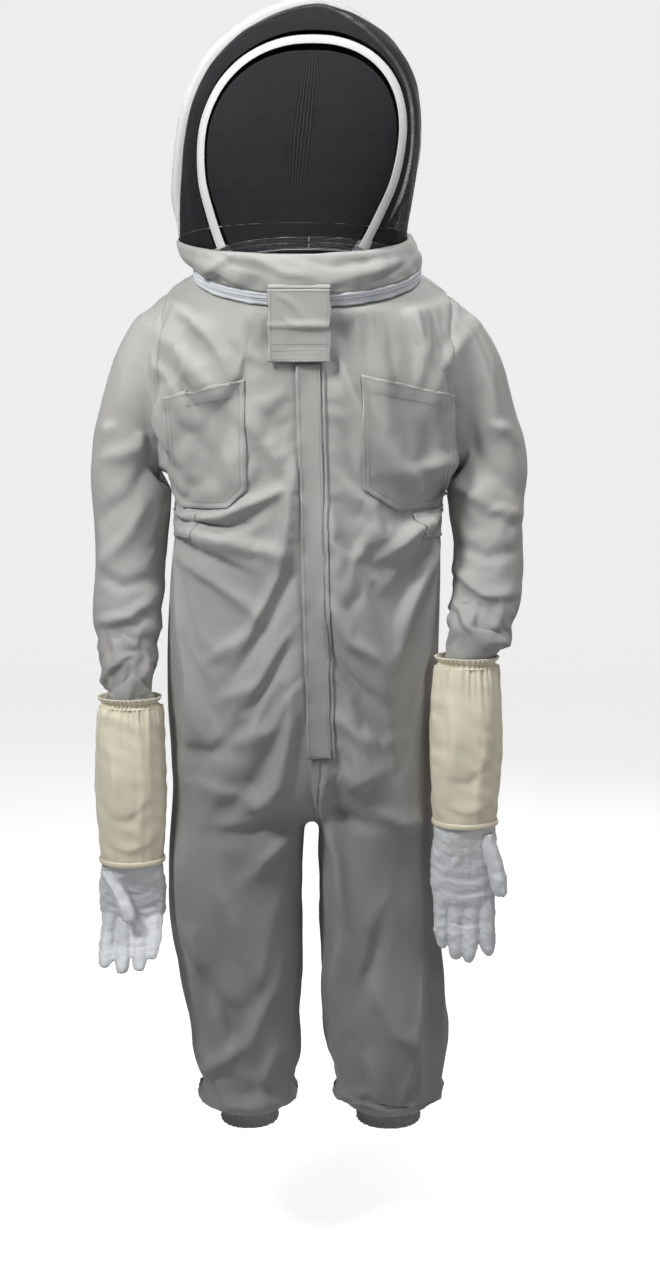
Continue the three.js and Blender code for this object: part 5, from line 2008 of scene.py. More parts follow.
@dataclass
class NeckZip:
    """The zip that joins the hood to the suit: two tapes a side, their teeth and two sliders."""

    height: float = 0.009
    wall: float = 0.0014
    start: float = math.radians(0.6)
    end: float = math.radians(179.7)
    slider_turn: float = math.radians(6)

    def build(self, wardrobe: Wardrobe, tree: bpy.types.GeometryNodeTree) -> None:
        """Build the whole zip.

        Args:
            wardrobe: The finishes.
            tree: The nodes that lay the teeth.
        """
        for side in Side:
            for upper in (True, False):
                self._tape(side, upper, wardrobe, tree)
            self._slider(side, wardrobe)

    def _tape(self, side: Side, upper: bool, wardrobe: Wardrobe, tree: bpy.types.GeometryNodeTree) -> None:
        """Make one tape with its row of teeth."""
        count = 220
        turn = np.linspace(self.start, self.end, count)
        sign = 1.0 if upper else -1.0
        rows = []
        for share in np.linspace(0.02, 1.0, 8):
            wave = 0.0006 * np.sin(turn * 17 + side.value) + 0.0004 * np.sin(turn * 41)
            bulge = 0.0007 * math.sin(math.pi * share) + 0.0005 * math.sin(share * 12)
            rows.append(neck_spot(side.value * turn, NECK_RADIUS + bulge + wave * share,
                                  sign * (share * self.height + wave * 0.5 * share)))
        points = np.vstack(rows)
        body = "hood" if upper else "suit"
        piece = make_piece(
            f"neck_tape_{body}_{side.word}", points, grid_faces(8, count, False), wardrobe["tape"]
        )
        face_out_of(piece, np.array([0, 0, NECK_Z]))
        thicken(piece, self.wall * 0.8)
        dress(piece, body, "tape", f"neck_zip_{body}_{side.word}")
        path = neck_spot(side.value * turn, NECK_RADIUS + 0.0009, sign * 0.0014)
        ups = path - neck_spot(side.value * turn, 0.0, sign * 0.0014)
        ups /= np.linalg.norm(ups, axis=1, keepdims=True)
        teeth = Run(step=0.0026, along=0.0019, across=0.0024, high=0.0016).lay(
            f"neck_teeth_{body}_{side.word}", [(path, ups)], tree, wardrobe["tape"]
        )
        dress(teeth, body, "tape")
        line = neck_spot(side.value * turn, NECK_RADIUS + 0.0012, sign * self.height * 0.72)
        stitches = STITCH.lay(f"neck_stitches_{body}_{side.word}", [(line, ups)], tree, wardrobe["tape"])
        dress(stitches, body, "tape")

    def _slider(self, side: Side, wardrobe: Wardrobe) -> None:
        """Make one slider, turned to face out of the ring, with its pull hanging."""
        turn = side.value * self.slider_turn
        place = neck_place() @ Matrix.Rotation(turn, 4, "Z")
        bead = NECK_RADIUS + 0.0011 + 0.0003
        lying = Matrix.Rotation(side.value * math.pi / 2, 4, "Y")
        body = slider_body(
            f"neck_slider_body_{side.word}", 0.012, 0.0108, 0.004, place @ Matrix.Translation(
                (0, -bead - 0.002, 0)
            ) @ lying,
            wardrobe["steel"],
        )
        name = f"neck_slider_{side.word}"
        dress(body, name, "steel", name)
        hang = place @ Matrix.Translation((0, -bead - 0.0044 - 0.0007, -0.0025))
        pull = pull_tab(f"neck_pull_tab_{side.word}", 0.0053, 0.013, 0.0012, hang, wardrobe["steel"])
        dress(pull, name, "steel", f"neck_pull_{side.word}")


COLLAR_FOLDS = (
    Fold(((-0.17, 0.085), (-0.12, 0.065), (-0.07, 0.035)), 0.0045, 0.008),
    Fold(((-0.16, 0.055), (-0.12, 0.075), (-0.085, 0.095)), 0.0042, 0.007),
    Fold(((-0.14, 0.10), (-0.10, 0.075), (-0.05, 0.06)), -0.0035, 0.006),
    Fold(((-0.09, 0.09), (-0.03, 0.06), (0.02, 0.055)), 0.0045, 0.008),
    Fold(((-0.06, 0.045), (0.0, 0.045), (0.06, 0.05)), 0.0035, 0.007),
    Fold(((-0.03, 0.085), (0.04, 0.07), (0.10, 0.08)), -0.0038, 0.007),
    Fold(((0.02, 0.09), (0.07, 0.085), (0.13, 0.095)), 0.0045, 0.007),
    Fold(((0.05, 0.055), (0.10, 0.065), (0.145, 0.085)), 0.0038, 0.008),
    Fold(((0.09, 0.05), (0.13, 0.07), (0.16, 0.10)), -0.0032, 0.006),
    Fold(((-0.18, 0.10), (-0.175, 0.075), (-0.165, 0.055)), 0.0035, 0.007),
)


@dataclass
class Collar:
    """The crumpled cloth band between the neck zip and the hood."""

    wall: float = 0.0013

    def build(self, wardrobe: Wardrobe, tree: bpy.types.GeometryNodeTree) -> bpy.types.Object:
        """Make the band.

        Args:
            wardrobe: The finishes.
            tree: The nodes that lay stitches.

        Returns:
            The band.
        """
        rise = 0.0093
        slope_height = NECK_Z + rise * (math.cos(NECK_TILT) + math.sin(NECK_TILT) * NECK_SLOPE)
        reach = NECK_RADIUS * math.cos(NECK_TILT)
        rows = [
            (0.0, -rise * math.sin(NECK_TILT), slope_height, NECK_RADIUS, reach, reach, NECK_SLOPE, 2),
            (-0.010, -0.002, 0.104, NECK_RADIUS + 0.008, 0.163, 0.159, 0.27, 2),
            (-0.020, 0.0, 0.1217, 0.166, 0.155, 0.155, 0.22, 2),
        ]
        rings = np.stack([oval(row, 300) for row in eased(rows, 7)])
        points, faces = tube(rings, capped=False)
        piece = make_piece("collar", points, faces, wardrobe["twill"])
        face_out_of(piece, np.array([0, 0, 0.1]))
        normals = point_normals(piece)
        share = np.repeat(np.linspace(0, 1, len(rings)), rings.shape[1])
        calm = smooth(share, 0.0, 0.18) * (1 - 0.6 * smooth(share, 0.85, 1.0))
        lift = pressed(points, normals, COLLAR_FOLDS, -1.0) + 0.0016 * ripples(points, 21, 0.045)
        roll = 0.0028 * np.exp(-(((share - 0.86) / 0.14) ** 2))
        put_places(piece, points + normals * ((lift * calm) + roll + 0.001 * calm)[:, None])
        # Painted shade: the collar's inner face is near black, for the dark inside of the hood.
        thicken(piece, self.wall, wardrobe["lining"])
        turn = np.linspace(0, 2 * np.pi, 400)
        ups = neck_spot(turn, 1.0, 0.0) - neck_spot(turn, 0.0, 0.0)
        line = neck_spot(turn, NECK_RADIUS + 0.0022, 0.0118)
        stitches = STITCH.lay("collar_stitches", [(line, ups)], tree, wardrobe["thread"])
        dress(piece, "hood", "twill", "collar_band")
        dress(stitches, "hood", "twill")
        return piece


@dataclass
class ThroatFlap:
    """The short flap that hangs over the zip's meeting point, with its hook-and-loop patches."""

    middle: float = -0.0095
    half: float = 0.043
    top: float = 0.040
    bottom: float = -0.0595
    top_reach: float = 0.166
    bottom_reach: float = 0.1575
    wall: float = 0.0022

    def build(self, coverall: Coverall, wardrobe: Wardrobe, tree: bpy.types.GeometryNodeTree) -> None:
        """Make the flap, the strip that it is sewn to and the patches under it.

        Args:
            coverall: The coverall.
            wardrobe: The finishes.
            tree: The nodes that lay stitches.
        """
        left, right = self.middle - self.half, self.middle + self.half
        points, faces = cut_patch(
            [
                (left, self.top), (left - 0.0005, self.bottom), (right + 0.001, self.bottom + 0.001),
                (right, self.top)
            ], 0.003
        )
        drop = (self.top - points[:, 2]) / (self.top - self.bottom)
        across = (points[:, 0] - self.middle) / self.half
        fold = 0.0028 * np.exp(
            -(((drop - 0.50) / 0.05) ** 2)
        ) - 0.0016 * np.exp(-(((drop - 0.62) / 0.05) ** 2))
        hem = 0.0014 * smooth(drop, 0.83, 0.86) + 0.0022 * smooth(drop, 0.93, 1.0) * (
            0.5 + 0.5 * np.sin(across * 2.4 + 0.9)
        )
        sway = 0.0012 * np.sin(across * 3.0 + 0.6) * smooth(drop, 0.1, 0.5)
        creases = Fold(((-0.05, 0.015), (-0.02, -0.01), (0.03, -0.012)), 0.0018, 0.006)
        other = Fold(((-0.045, 0.035), (-0.02, 0.02), (0.0, -0.005)), 0.0016, 0.006)
        lift = fold + hem + sway + creases.lift(
            points[:, 0], points[:, 2]
        ) + other.lift(points[:, 0], points[:, 2])
        plane = self._plane(points[:, 2])
        points[:, 1] = plane - self.wall - np.maximum(lift, 0) * smooth(drop, 0.0, 0.12) - 0.0006
        points[:, 0] += 0.0012 * np.sin(points[:, 2] * 150) * np.abs(across) ** 4
        piece = make_piece("flap", points, faces, wardrobe["twill"])
        thicken(piece, self.wall * 0.8, wardrobe["twill_inside"])
        face = tree_of(piece)
        rows = [
            seen_from_front(face, [(left + 0.004, height), (right - 0.004, height + 0.0006)], 0.003, 0.0002)
            for height in (-0.0135, -0.035, -0.0440, -0.0555, 0.0365)
        ]
        for edge in (left + 0.004, right - 0.004):
            rows.append(
                seen_from_front(face, [(edge, self.top - 0.003), (edge, self.bottom + 0.004)], 0.003, 0.0002)
            )
        dress(piece, "throat_flap", "twill", "throat_flap")
        dress(STITCH.lay("flap_stitches", rows, tree, wardrobe["thread"]), "throat_flap", "twill")
        self._hook(wardrobe)
        self._base(wardrobe)
        for side in Side:
            self._loop(coverall, side, wardrobe)

    def _plane(self, height: Points) -> Points:
        """Where the flap's back face is, at each height."""
        slope = (self.top_reach - self.bottom_reach) / (self.top - self.bottom)
        return -(self.bottom_reach + (height - self.bottom) * slope)

    def _hook(self, wardrobe: Wardrobe) -> None:
        """Sew the hook patch on the flap's back."""
        low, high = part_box("flap_hook_patch")
        outline = [(low.x, high.z), (low.x, low.z), (high.x, low.z), (high.x, high.z)]
        points, faces = cut_patch(outline, 0.0035)
        points[:, 1] = self._plane(points[:, 2]) + 0.0006 + 0.0002 * ripples(points, 4, 0.01)
        piece = make_piece("hook_patch", points, faces, wardrobe["hook"])
        thicken(piece, -0.0011)
        dress(piece, "throat_flap", "hook", "flap_hook_patch")

    def _base(self, wardrobe: Wardrobe) -> None:
        """Fold the strip that joins the flap to the collar."""
        low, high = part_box("flap_base")
        profile = [(0.0, 0.0), (0.0, 0.35), (0.15, 0.75), (0.45, 1.0), (0.85, 1.0), (1.0, 0.8), (1.0, 0.0)]
        front, back = float(low.y), float(low.y) + 0.006
        columns = 60
        rows = []
        for deep, tall in profile:
            x = np.linspace(low.x, high.x, columns)
            y = front + (back - front) * deep + 0.0004 * np.sin(x * 190)
            rows.append(np.stack([x, y, np.full(columns, low.z + (high.z - low.z) * tall)], axis=1))
        points = np.vstack(rows)
        faces = grid_faces(len(profile), columns, False)
        faces += [tuple(range(0, len(profile) * columns, columns))[::-1]]
        faces += [tuple(range(columns - 1, len(profile) * columns, columns))]
        faces += [
            (
                j, (len(profile) - 1) * columns + j, (len(profile) - 1) * columns + j + 1, j + 1
            ) for j in range(columns - 1)
        ]
        piece = make_piece("flap_strip", points, faces, wardrobe["twill"])
        face_out(piece)
        dress(piece, "hood", "twill", "flap_base")

    def _loop(self, coverall: Coverall, side: Side, wardrobe: Wardrobe) -> None:
        """Sew a loop patch on the suit beside the front line."""
        low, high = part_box(f"loop_patch_{side.word}")
        outline = [(low.x, high.z), (low.x, low.z), (high.x, low.z), (high.x, high.z)]
        patch = ClothPatch(f"loop_strip_{side.word}", outline, off=0.0017, step=0.003, wall=0.0010, soften=3)
        piece = patch.lay(coverall, lambda points: 0.0002 * ripples(points, 9, 0.008), wardrobe["hook"])
        dress(piece, "suit", "hook", f"loop_patch_{side.word}")


@dataclass(frozen=True)
class HoopPlane:
    """The leaning plane that a hoop stands in: y where it meets the crown, its lean and its turn."""

    top_y: float
    lean: float
    turn: float

    def off(self, points: Points) -> Points:
        """How far behind the plane each point is."""
        return points[..., 1] - self.turn * points[..., 0] - self.lean * (points[..., 2] - 0.466) - self.top_y

    @property
    def normal(self) -> Vector:
        """The direction square to the plane, backwards."""
        return Vector((-self.turn, 1, -self.lean))

    @property
    def spot(self) -> Vector:
        """A point on the plane."""
        return Vector((0, self.top_y, 0.466))


HOOD_FOLDS = (
    Fold(((-0.12, 0.16), (-0.05, 0.20), (0.02, 0.19), (0.10, 0.15)), 0.006, 0.014),
    Fold(((0.13, 0.30), (0.09, 0.22), (0.10, 0.14)), 0.005, 0.014),
    Fold(((-0.14, 0.30), (-0.11, 0.23), (-0.12, 0.15)), 0.005, 0.014),
    Fold(((-0.02, 0.42), (-0.01, 0.36), (0.0, 0.25)), -0.003, 0.020),
)


@dataclass
class Hood:
    """The hood: two sewn-over hoops, the net between and in front of them, and the cloth back."""

    half_width: float = 0.171
    height: float = 0.331
    base: float = 0.122
    base_slope: float = 0.22
    shift: float = -0.020
    lean: float = 0.11
    strip: float = 0.015
    front_hoop: HoopPlane = HoopPlane(-0.080, 0.124, 0.0)
    crown_hoop: HoopPlane = HoopPlane(0.022, -0.065, 0.32)
    dome: tuple[tuple[float, ...], ...] = (
        (0, 0.971, 0.155, 0.155, 0.22, 2, 0), (0.125, 0.99, 0.154, 0.160, 0.15, 2.3, 0),
        (0.26, 1.0, 0.150, 0.163, 0.08, 2.7, 0), (0.41, 1.0, 0.140, 0.164, 0, 2.9, 0),
        (0.55, 0.972, 0.128, 0.162, 0, 2.8, 0), (0.67, 0.9, 0.112, 0.156, 0, 2.7, 0),
        (0.77, 0.79, 0.095, 0.142, 0, 2.5, 0), (0.86, 0.62, 0.074, 0.118, 0, 2.3, 0),
        (0.93, 0.43, 0.052, 0.084, 0, 2.1, 0.008), (0.975, 0.24, 0.032, 0.048, 0, 2, 0.016),
        (1, 0.06, 0.008, 0.012, 0, 2, 0.022),
    )

    def rings(self) -> Points:
        """Lay out the dome's rings from its base to its crown."""
        rows = [
            (self.shift + self.lean * share * self.height, y, self.base + share * self.height - slope * y,
             a * self.half_width, front, back, slope, square)
            for share, a, front, back, slope, square, y in self.dome
        ]
        return np.stack([oval(row, 240) for row in eased(rows, 7)])

    def build(self, wardrobe: Wardrobe, tree: bpy.types.GeometryNodeTree) -> None:
        """Build the hood.

        Args:
            wardrobe: The finishes.
            tree: The nodes that lay stitches.
        """
        rings = self.rings()
        panels = self._panels(rings, wardrobe)
        dress(panels["veil_front"], "hood", "veil", "veil_front")
        dress(panels["veil_gusset"], "hood", "veil", "veil_gusset")
        dress(panels["hood_back"], "hood", "twill", "hood_back")
        points, faces = tube(rings)
        shell = BVHTree.FromPolygons(points.tolist(), faces)
        for name, plane, stand in (
            ("hoop_front", self.front_hoop, 0.0), ("hoop_crown", self.crown_hoop, 1.2)
        ):
            self._hoop(name, plane, stand, shell, wardrobe, tree)

    def _panels(self, rings: Points, wardrobe: Wardrobe) -> dict[str, bpy.types.Object]:
        """Cut the dome into the net's two parts and the cloth back."""
        points, faces = tube(rings, capped=False)
        rows, count = rings.shape[:2]
        whole = make_piece("dome", points, faces)
        face_out_of(whole, np.array([0, 0, 0.3]))
        rise = np.concatenate([[0], np.cumsum(np.linalg.norm(np.diff(rings[:, 0], axis=0), axis=1))])
        around = np.linspace(0, 2 * np.pi, count, endpoint=False) * 0.17
        spread = np.stack([np.tile(around, rows), np.repeat(rise, count)], axis=1)
        layer = whole.data.uv_layers.new(name="cloth")
        corners = np.empty(len(whole.data.loops), np.int32)
        whole.data.loops.foreach_get("vertex_index", corners)
        laid = spread[corners]
        self._close_round(whole, laid, 2 * np.pi * 0.17)
        layer.data.foreach_set("uv", laid.astype(np.float32).ravel())
        clear = self.strip / 2 + 0.0003
        work = bmesh.new()
        work.from_mesh(whole.data)
        for plane in (self.front_hoop, self.crown_hoop):
            for shift in (-clear, clear):
                geometry = work.verts[:] + work.edges[:] + work.faces[:]
                spot = plane.spot + Vector((0, shift, 0))
                bmesh.ops.bisect_plane(work, geom=geometry, plane_co=spot, plane_no=plane.normal, dist=1e-6)
        work.to_mesh(whole.data)
        work.free()
        panels = {}
        for name, finish in (("veil_front", "veil"), ("veil_gusset", "veil"), ("hood_back", "twill")):
            panels[name] = self._panel(whole, name, clear, wardrobe[finish], wardrobe)
        bpy.data.objects.remove(whole, do_unlink=True)
        return panels

    @staticmethod
    def _close_round(whole: bpy.types.Object, laid: Points, girth: float) -> None:
        """Carry the cloth's width on past the point where the rings close."""
        for polygon in whole.data.polygons:
            across = laid[list(polygon.loop_indices), 0]
            if across.max() - across.min() > girth / 2:
                for index in polygon.loop_indices:
                    if laid[index, 0] < girth / 2:
                        laid[index, 0] += girth

    def _panel(self, whole: bpy.types.Object, name: str, clear: float, material: bpy.types.Material,
               wardrobe: Wardrobe) -> bpy.types.Object:
        """Take one panel out of the cut dome."""
        panel = whole.copy()
        panel.data = whole.data.copy()
        panel.name = f"{name}_cloth"
        bpy.context.scene.collection.objects.link(panel)
        work = bmesh.new()
        work.from_mesh(panel.data)
        middles = np.array([face.calc_center_median()[:] for face in work.faces])
        front, crown = self.front_hoop.off(middles), self.crown_hoop.off(middles)
        keep = {
            "veil_front": front < -clear,
            "veil_gusset": (front > clear) & (crown < -clear),
            "hood_back": crown > clear,
        }[name]
        work.faces.ensure_lookup_table()
        bmesh.ops.delete(work, geom=[work.faces[i] for i in np.nonzero(~keep)[0]], context="FACES")
        work.to_mesh(panel.data)
        work.free()
        panel.data.materials.append(material)
        points = places(panel)
        normals = point_normals(panel)
        if name == "hood_back":
            lift = pressed(points, normals, HOOD_FOLDS, 1.0) + 0.0018 * ripples(points, 61, 0.12)
            calm = smooth(self.crown_hoop.off(points), clear, clear + 0.03) * smooth(points[:, 2], 0.13, 0.17)
            put_places(panel, points + normals * (lift * calm)[:, None])
            # Painted shade: the cloth back's inner face is near black, so the hood's inside looks dark
            # through the net.
            return thicken(panel, 0.0014, wardrobe["lining"])
        edge = np.minimum(np.abs(self.front_hoop.off(points)), np.abs(self.crown_hoop.off(points)))
        uneven = 0.0008 * ripples(points, 62, 0.05) * smooth(edge, clear, 0.03)
        sag = 0.0030 * smooth(edge, clear, 0.06) + uneven
        put_places(panel, points - normals * sag[:, None])
        return thicken(panel, 0.0006)

    def _hoop(self, name: str, plane: HoopPlane, stand: float, shell: BVHTree, wardrobe: Wardrobe,
              tree: bpy.types.GeometryNodeTree) -> None:
        """Sew a hoop's wire into its strip of tape along the dome.

        Args:
            name: The hoop's name.
            plane: The plane that it stands in.
            stand: The angle by which its back edge stands up off the dome.
            shell: The dome.
            wardrobe: The finishes.
            tree: The nodes that lay stitches.
        """
        spots, outs = [], []
        centre = np.array([0.0, 0.0, 0.26])
        centre[1] = plane.top_y + plane.lean * (centre[2] - 0.466)
        for turn in np.linspace(-1.35, math.pi + 1.35, 420):
            across, up = math.cos(turn), math.sin(turn)
            way = Vector((across, plane.turn * across + plane.lean * up, up))
            spot, normal, _, _ = shell.ray_cast(Vector(centre), way.normalized(), 0.5)
            if spot is None or spot.z < self.base + self.base_slope * spot.y + 0.0005:
                continue
            spots.append(np.array(spot))
            outs.append(np.array(normal) * np.sign(normal.dot(way)))
        path, outs = np.array(spots), np.array(outs)
        length = np.concatenate([[0], np.cumsum(np.linalg.norm(np.diff(path, axis=0), axis=1))])
        even = np.linspace(0, length[-1], 300)
        path = np.stack([np.interp(even, length, path[:, i]) for i in range(3)], axis=1)
        outs = np.stack([np.interp(even, length, outs[:, i]) for i in range(3)], axis=1)
        outs = self._steadied(outs)
        along = np.gradient(path, axis=0)
        along /= np.linalg.norm(along, axis=1, keepdims=True)
        wide = np.cross(along, outs)
        wide /= np.linalg.norm(wide, axis=1, keepdims=True)
        wide *= np.where(wide[:, 1:2] < 0, -1.0, 1.0)
        half = self.strip / 2
        risen = (stand * smooth(even, 0.0, 0.07) * smooth(even[-1] - even, 0.0, 0.07))[:, None]
        path = path + outs * half * np.sin(risen)
        wide, outs = wide * np.cos(risen) + outs * np.sin(risen), outs * np.cos(risen) - wide * np.sin(risen)
        turns = np.linspace(0, 2 * np.pi, 28, endpoint=False)
        across = np.sign(np.cos(turns)) * np.abs(np.cos(turns)) ** 0.8 * half
        wire = np.exp(-((across / (half * 0.52)) ** 2))
        proud = np.where(
            np.sin(turns) > 0, 0.0007 + 0.0016 * wire, -0.0007 - 0.0031 * wire
        ) * np.abs(np.sin(turns)) ** 0.4
        pucker = 0.00035 * np.sin(even * 900)[:, None] * (np.abs(across) > half * 0.55)[None, :]
        rings = path[:, None] + wide[:, None] * across[None, :, None] + outs[:, None] * (
            proud[None, :] + pucker
        )[..., None]
        points, faces = tube(rings)
        piece = make_piece(f"{name}_tape", points, faces, wardrobe["hoop"])
        face_out(piece)
        dress(piece, "hood", "hoop", name)
        rows = [(path + wide * (side * half * 0.72) + outs * 0.0011, outs) for side in (-1, 1)]
        dress(STITCH.lay(f"{name}_stitches", rows, tree, wardrobe["hoop"]), "hood", "hoop")

    @staticmethod
    def _steadied(values: Points) -> Points:
        """Even out directions along a path."""
        kernel = np.ones(13) / 13
        padded = np.pad(values, ((6, 6), (0, 0)), mode="edge")
        steady = np.stack([np.convolve(padded[:, i], kernel, mode="valid") for i in range(3)], axis=1)
        return steady / np.linalg.norm(steady, axis=1, keepdims=True)


# --- Gloves ---------------------------------------------------------------------------------------


@dataclass(frozen=True)
class Finger:
    """A finger of a glove: how far it is from the middle, how long it is and its radius."""

    across: float
    length: float
    radius: float


@dataclass
class Glove:
    """A gauntlet glove: an elastic mouth, a canvas gauntlet, a binding, and a leather hand and thumb."""

    side: Side
    wrist: Color
    palm: float
    curl: float
    thumb: Color
    gauntlet: float = 0.236
    radius: float = 0.050
    leather: float = 0.0016
    fingers: tuple[Finger, ...] = (
        Finger(-0.034, 0.078, 0.011), Finger(-0.0115, 0.096, 0.012), Finger(0.0115, 0.100, 0.012),
        Finger(0.034, 0.090, 0.012),
    )

    @property
    def body(self) -> str:
        """The CAD body that the glove is."""
        return f"glove_{self.side.word}"

    def build(self, wardrobe: Wardrobe, tree: bpy.types.GeometryNodeTree) -> None:
        """Sew the glove.

        Args:
            wardrobe: The finishes.
            tree: The nodes that lay stitches.
        """
        self._gauntlet(wardrobe)
        self._mouth(wardrobe)
        self._binding(wardrobe, tree)
        self._hand(wardrobe)

    def _gauntlet_rings(self, count: int) -> Points:
        """Lay out the gauntlet's rings from its mouth to the wrist seam."""
        x, y, z = self.wrist
        rows = [(1, 0.89), (0.93, 0.95), (0.72, 1.02), (0.45, 1.06), (0.2, 1.0), (0, 0.9)]
        full = [
            (
                x, y, z + share * self.gauntlet, size * self.radius, size * self.radius * 0.94,
                size * self.radius * 0.94, 0, 2
            )
            for share, size in rows
        ]
        return np.stack([oval(row, count) for row in eased(full, 14)])

    def _gauntlet(self, wardrobe: Wardrobe) -> None:
        """Make the canvas gauntlet, gathered at its mouth."""
        rings = self._gauntlet_rings(220)
        points, faces = tube(rings, capped=False)
        piece = make_piece(f"gauntlet_cloth_{self.side.word}", points, faces, wardrobe["canvas"])
        face_out_of(piece, np.array(self.wrist) + [0, 0, self.gauntlet / 2])
        normals = point_normals(piece)
        below = self.wrist[2] + self.gauntlet - points[:, 2]
        above = points[:, 2] - self.wrist[2]
        turn = np.arctan2(points[:, 1] - self.wrist[1], points[:, 0] - self.wrist[0])
        gathers = GatheredBand(pleats=30, depth=1.0, seed=17 + self.side.value).wave(turn)
        small = GatheredBand(pleats=13, depth=1.0, seed=23 + self.side.value).wave(turn)
        lift = 0.0021 * gathers * np.exp(-below / 0.022) + 0.0020 * small * np.exp(-below / 0.070)
        hang = np.stack([points[:, 0], points[:, 1], points[:, 2] * 0.35], axis=1)
        swell = 0.0017 * ripples(hang, 71 + self.side.value, 0.055) + 0.0007 * ripples(points, 81, 0.03)
        lift += swell * smooth(above, 0.0, 0.03)
        lift += 0.0012 * small * np.exp(-above / 0.02)
        for one in self._gauntlet_folds():
            lift += one.lift(points[:, 0], points[:, 2]) * smooth(-normals[:, 1], -0.1, 0.4)
        put_places(piece, points + normals * lift[:, None])
        thicken(piece, 0.0012)
        dress(piece, self.body, "canvas", f"gauntlet_{self.side.word}")

    def _gauntlet_folds(self) -> tuple[Fold, ...]:
        """The gauntlet's few long folds."""
        x, _, z = self.wrist
        return (
            Fold(((x - 0.03, z + 0.20), (x - 0.02, z + 0.13), (x - 0.03, z + 0.05)), 0.003, 0.009),
            Fold(((x + 0.02, z + 0.21), (x + 0.025, z + 0.12), (x + 0.01, z + 0.03)), 0.0028, 0.010),
            Fold(((x + 0.035, z + 0.10), (x, z + 0.07), (x - 0.035, z + 0.075)), -0.0022, 0.008),
            Fold(((x - 0.035, z + 0.035), (x, z + 0.025), (x + 0.035, z + 0.04)), 0.0020, 0.007),
        )

    def _mouth(self, wardrobe: Wardrobe) -> None:
        """Gather the elastic mouth round the sleeve."""
        _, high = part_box(f"gauntlet_elastic_{self.side.word}")
        ring = self._gauntlet_rings(330)[0]
        middle = ring.mean(axis=0)
        rings = []
        height = float(high.z) - ring[0, 2] - 0.0005
        for share in np.linspace(0, 1, 12):
            size = 1.0 - 0.10 * math.sin(math.pi * min(share * 1.5, 1.0)) + 0.05 * smooth(share, 0.72, 1.0)
            grown = middle + (ring - middle) * float(size)
            grown[:, 2] = ring[:, 2] - 0.001 + (height + 0.001) * share
            rings.append(grown)
        piece = GatheredBand(pleats=38, depth=0.0019, seed=29 + self.side.value).build(
            f"gauntlet_gathers_{self.side.word}", np.stack(rings), 0.0013, wardrobe["canvas"]
        )
        dress(piece, self.body, "canvas", f"gauntlet_elastic_{self.side.word}")

    def _binding(self, wardrobe: Wardrobe, tree: bpy.types.GeometryNodeTree) -> None:
        """Bind the seam between canvas and leather."""
        ring = self._gauntlet_rings(200)[-1]
        middle = ring.mean(axis=0)
        out = ring - middle
        out /= np.linalg.norm(out, axis=1, keepdims=True)
        turns = np.linspace(0, 2 * np.pi, 15)[:-1]
        rows = []
        for turn in np.append(turns, turns[0]):
            spot = ring + out * (0.0028 + 0.0014 * math.cos(turn))
            up = math.sin(turn)
            spot[:, 2] += 0.004 + 0.0040 * math.copysign(abs(up) ** 0.7, up)
            rows.append(spot)
        rings = np.stack(rows[:-1])
        count = rings.shape[1]
        faces = [
            (i * count + j, i * count + (j + 1) % count, ((i + 1) % len(rings)) * count + (j + 1) % count,
             ((i + 1) % len(rings)) * count + j)
            for i in range(len(rings)) for j in range(count)
        ]
        points = rings.reshape(-1, 3)
        piece = make_piece(f"binding_{self.side.word}", points, faces, wardrobe["canvas"])
        face_out(piece)
        dress(piece, self.body, "canvas", f"wrist_binding_{self.side.word}")
        line = np.vstack([ring, ring[:1]]) + np.vstack([out, out[:1]]) * 0.0043
        line[:, 2] += 0.004
        stitches = STITCH.lay(
            f"binding_stitches_{self.side.word}", [
                (line, np.vstack([out, out[:1]]))
            ], tree, wardrobe["canvas"]
        )
        dress(stitches, self.body, "canvas")

    def _hand_parts(self) -> list[tuple[Points, Faces]]:
        """Lay out the palm and the fingers."""
        x, y, z = self.wrist
        palm_rows = [
            (0, 0.044, 0.040), (0.25, 0.046, 0.034), (0.5, 0.049, 0.026), (0.8, 0.049, 0.020),
            (1.0, 0.047, 0.016), (1.12, 0.040, 0.010),
        ]
        palm = [
            (
                x, y, z + 0.006 - share * (self.palm + 0.006), wide, deep, deep, 0, 2.2
            ) for share, wide, deep in palm_rows
        ]
        parts = [tube(np.stack([oval(row, 64) for row in eased(palm, 5)]))]
        along = np.array([0, -math.sin(self.curl), -math.cos(self.curl)])
        for number, finger in enumerate(self.fingers):
            root = np.array([x + finger.across * self.side.value, y, z - self.palm])
            sway = np.array(
                [0.004 * math.sin(number * 2.1 + self.side.value), 0.003 * math.cos(number * 1.7), 0.0]
            )
            stations = []
            for share, size in (
                (-0.3, 0.95), (0.1, 1.0), (0.45, 0.94), (0.6, 0.98), (0.85, 0.86), (0.96, 0.6), (1, 0.3)
            ):
                spot = root + along * share * finger.length + sway * max(share, 0) ** 2
                stations.append((*spot, finger.radius * size, finger.radius * size * 0.92))
            parts.append(tube(path_rings(eased(stations, 4), np.array([0.0, 1.0, 0.0]), 28)))
        return parts

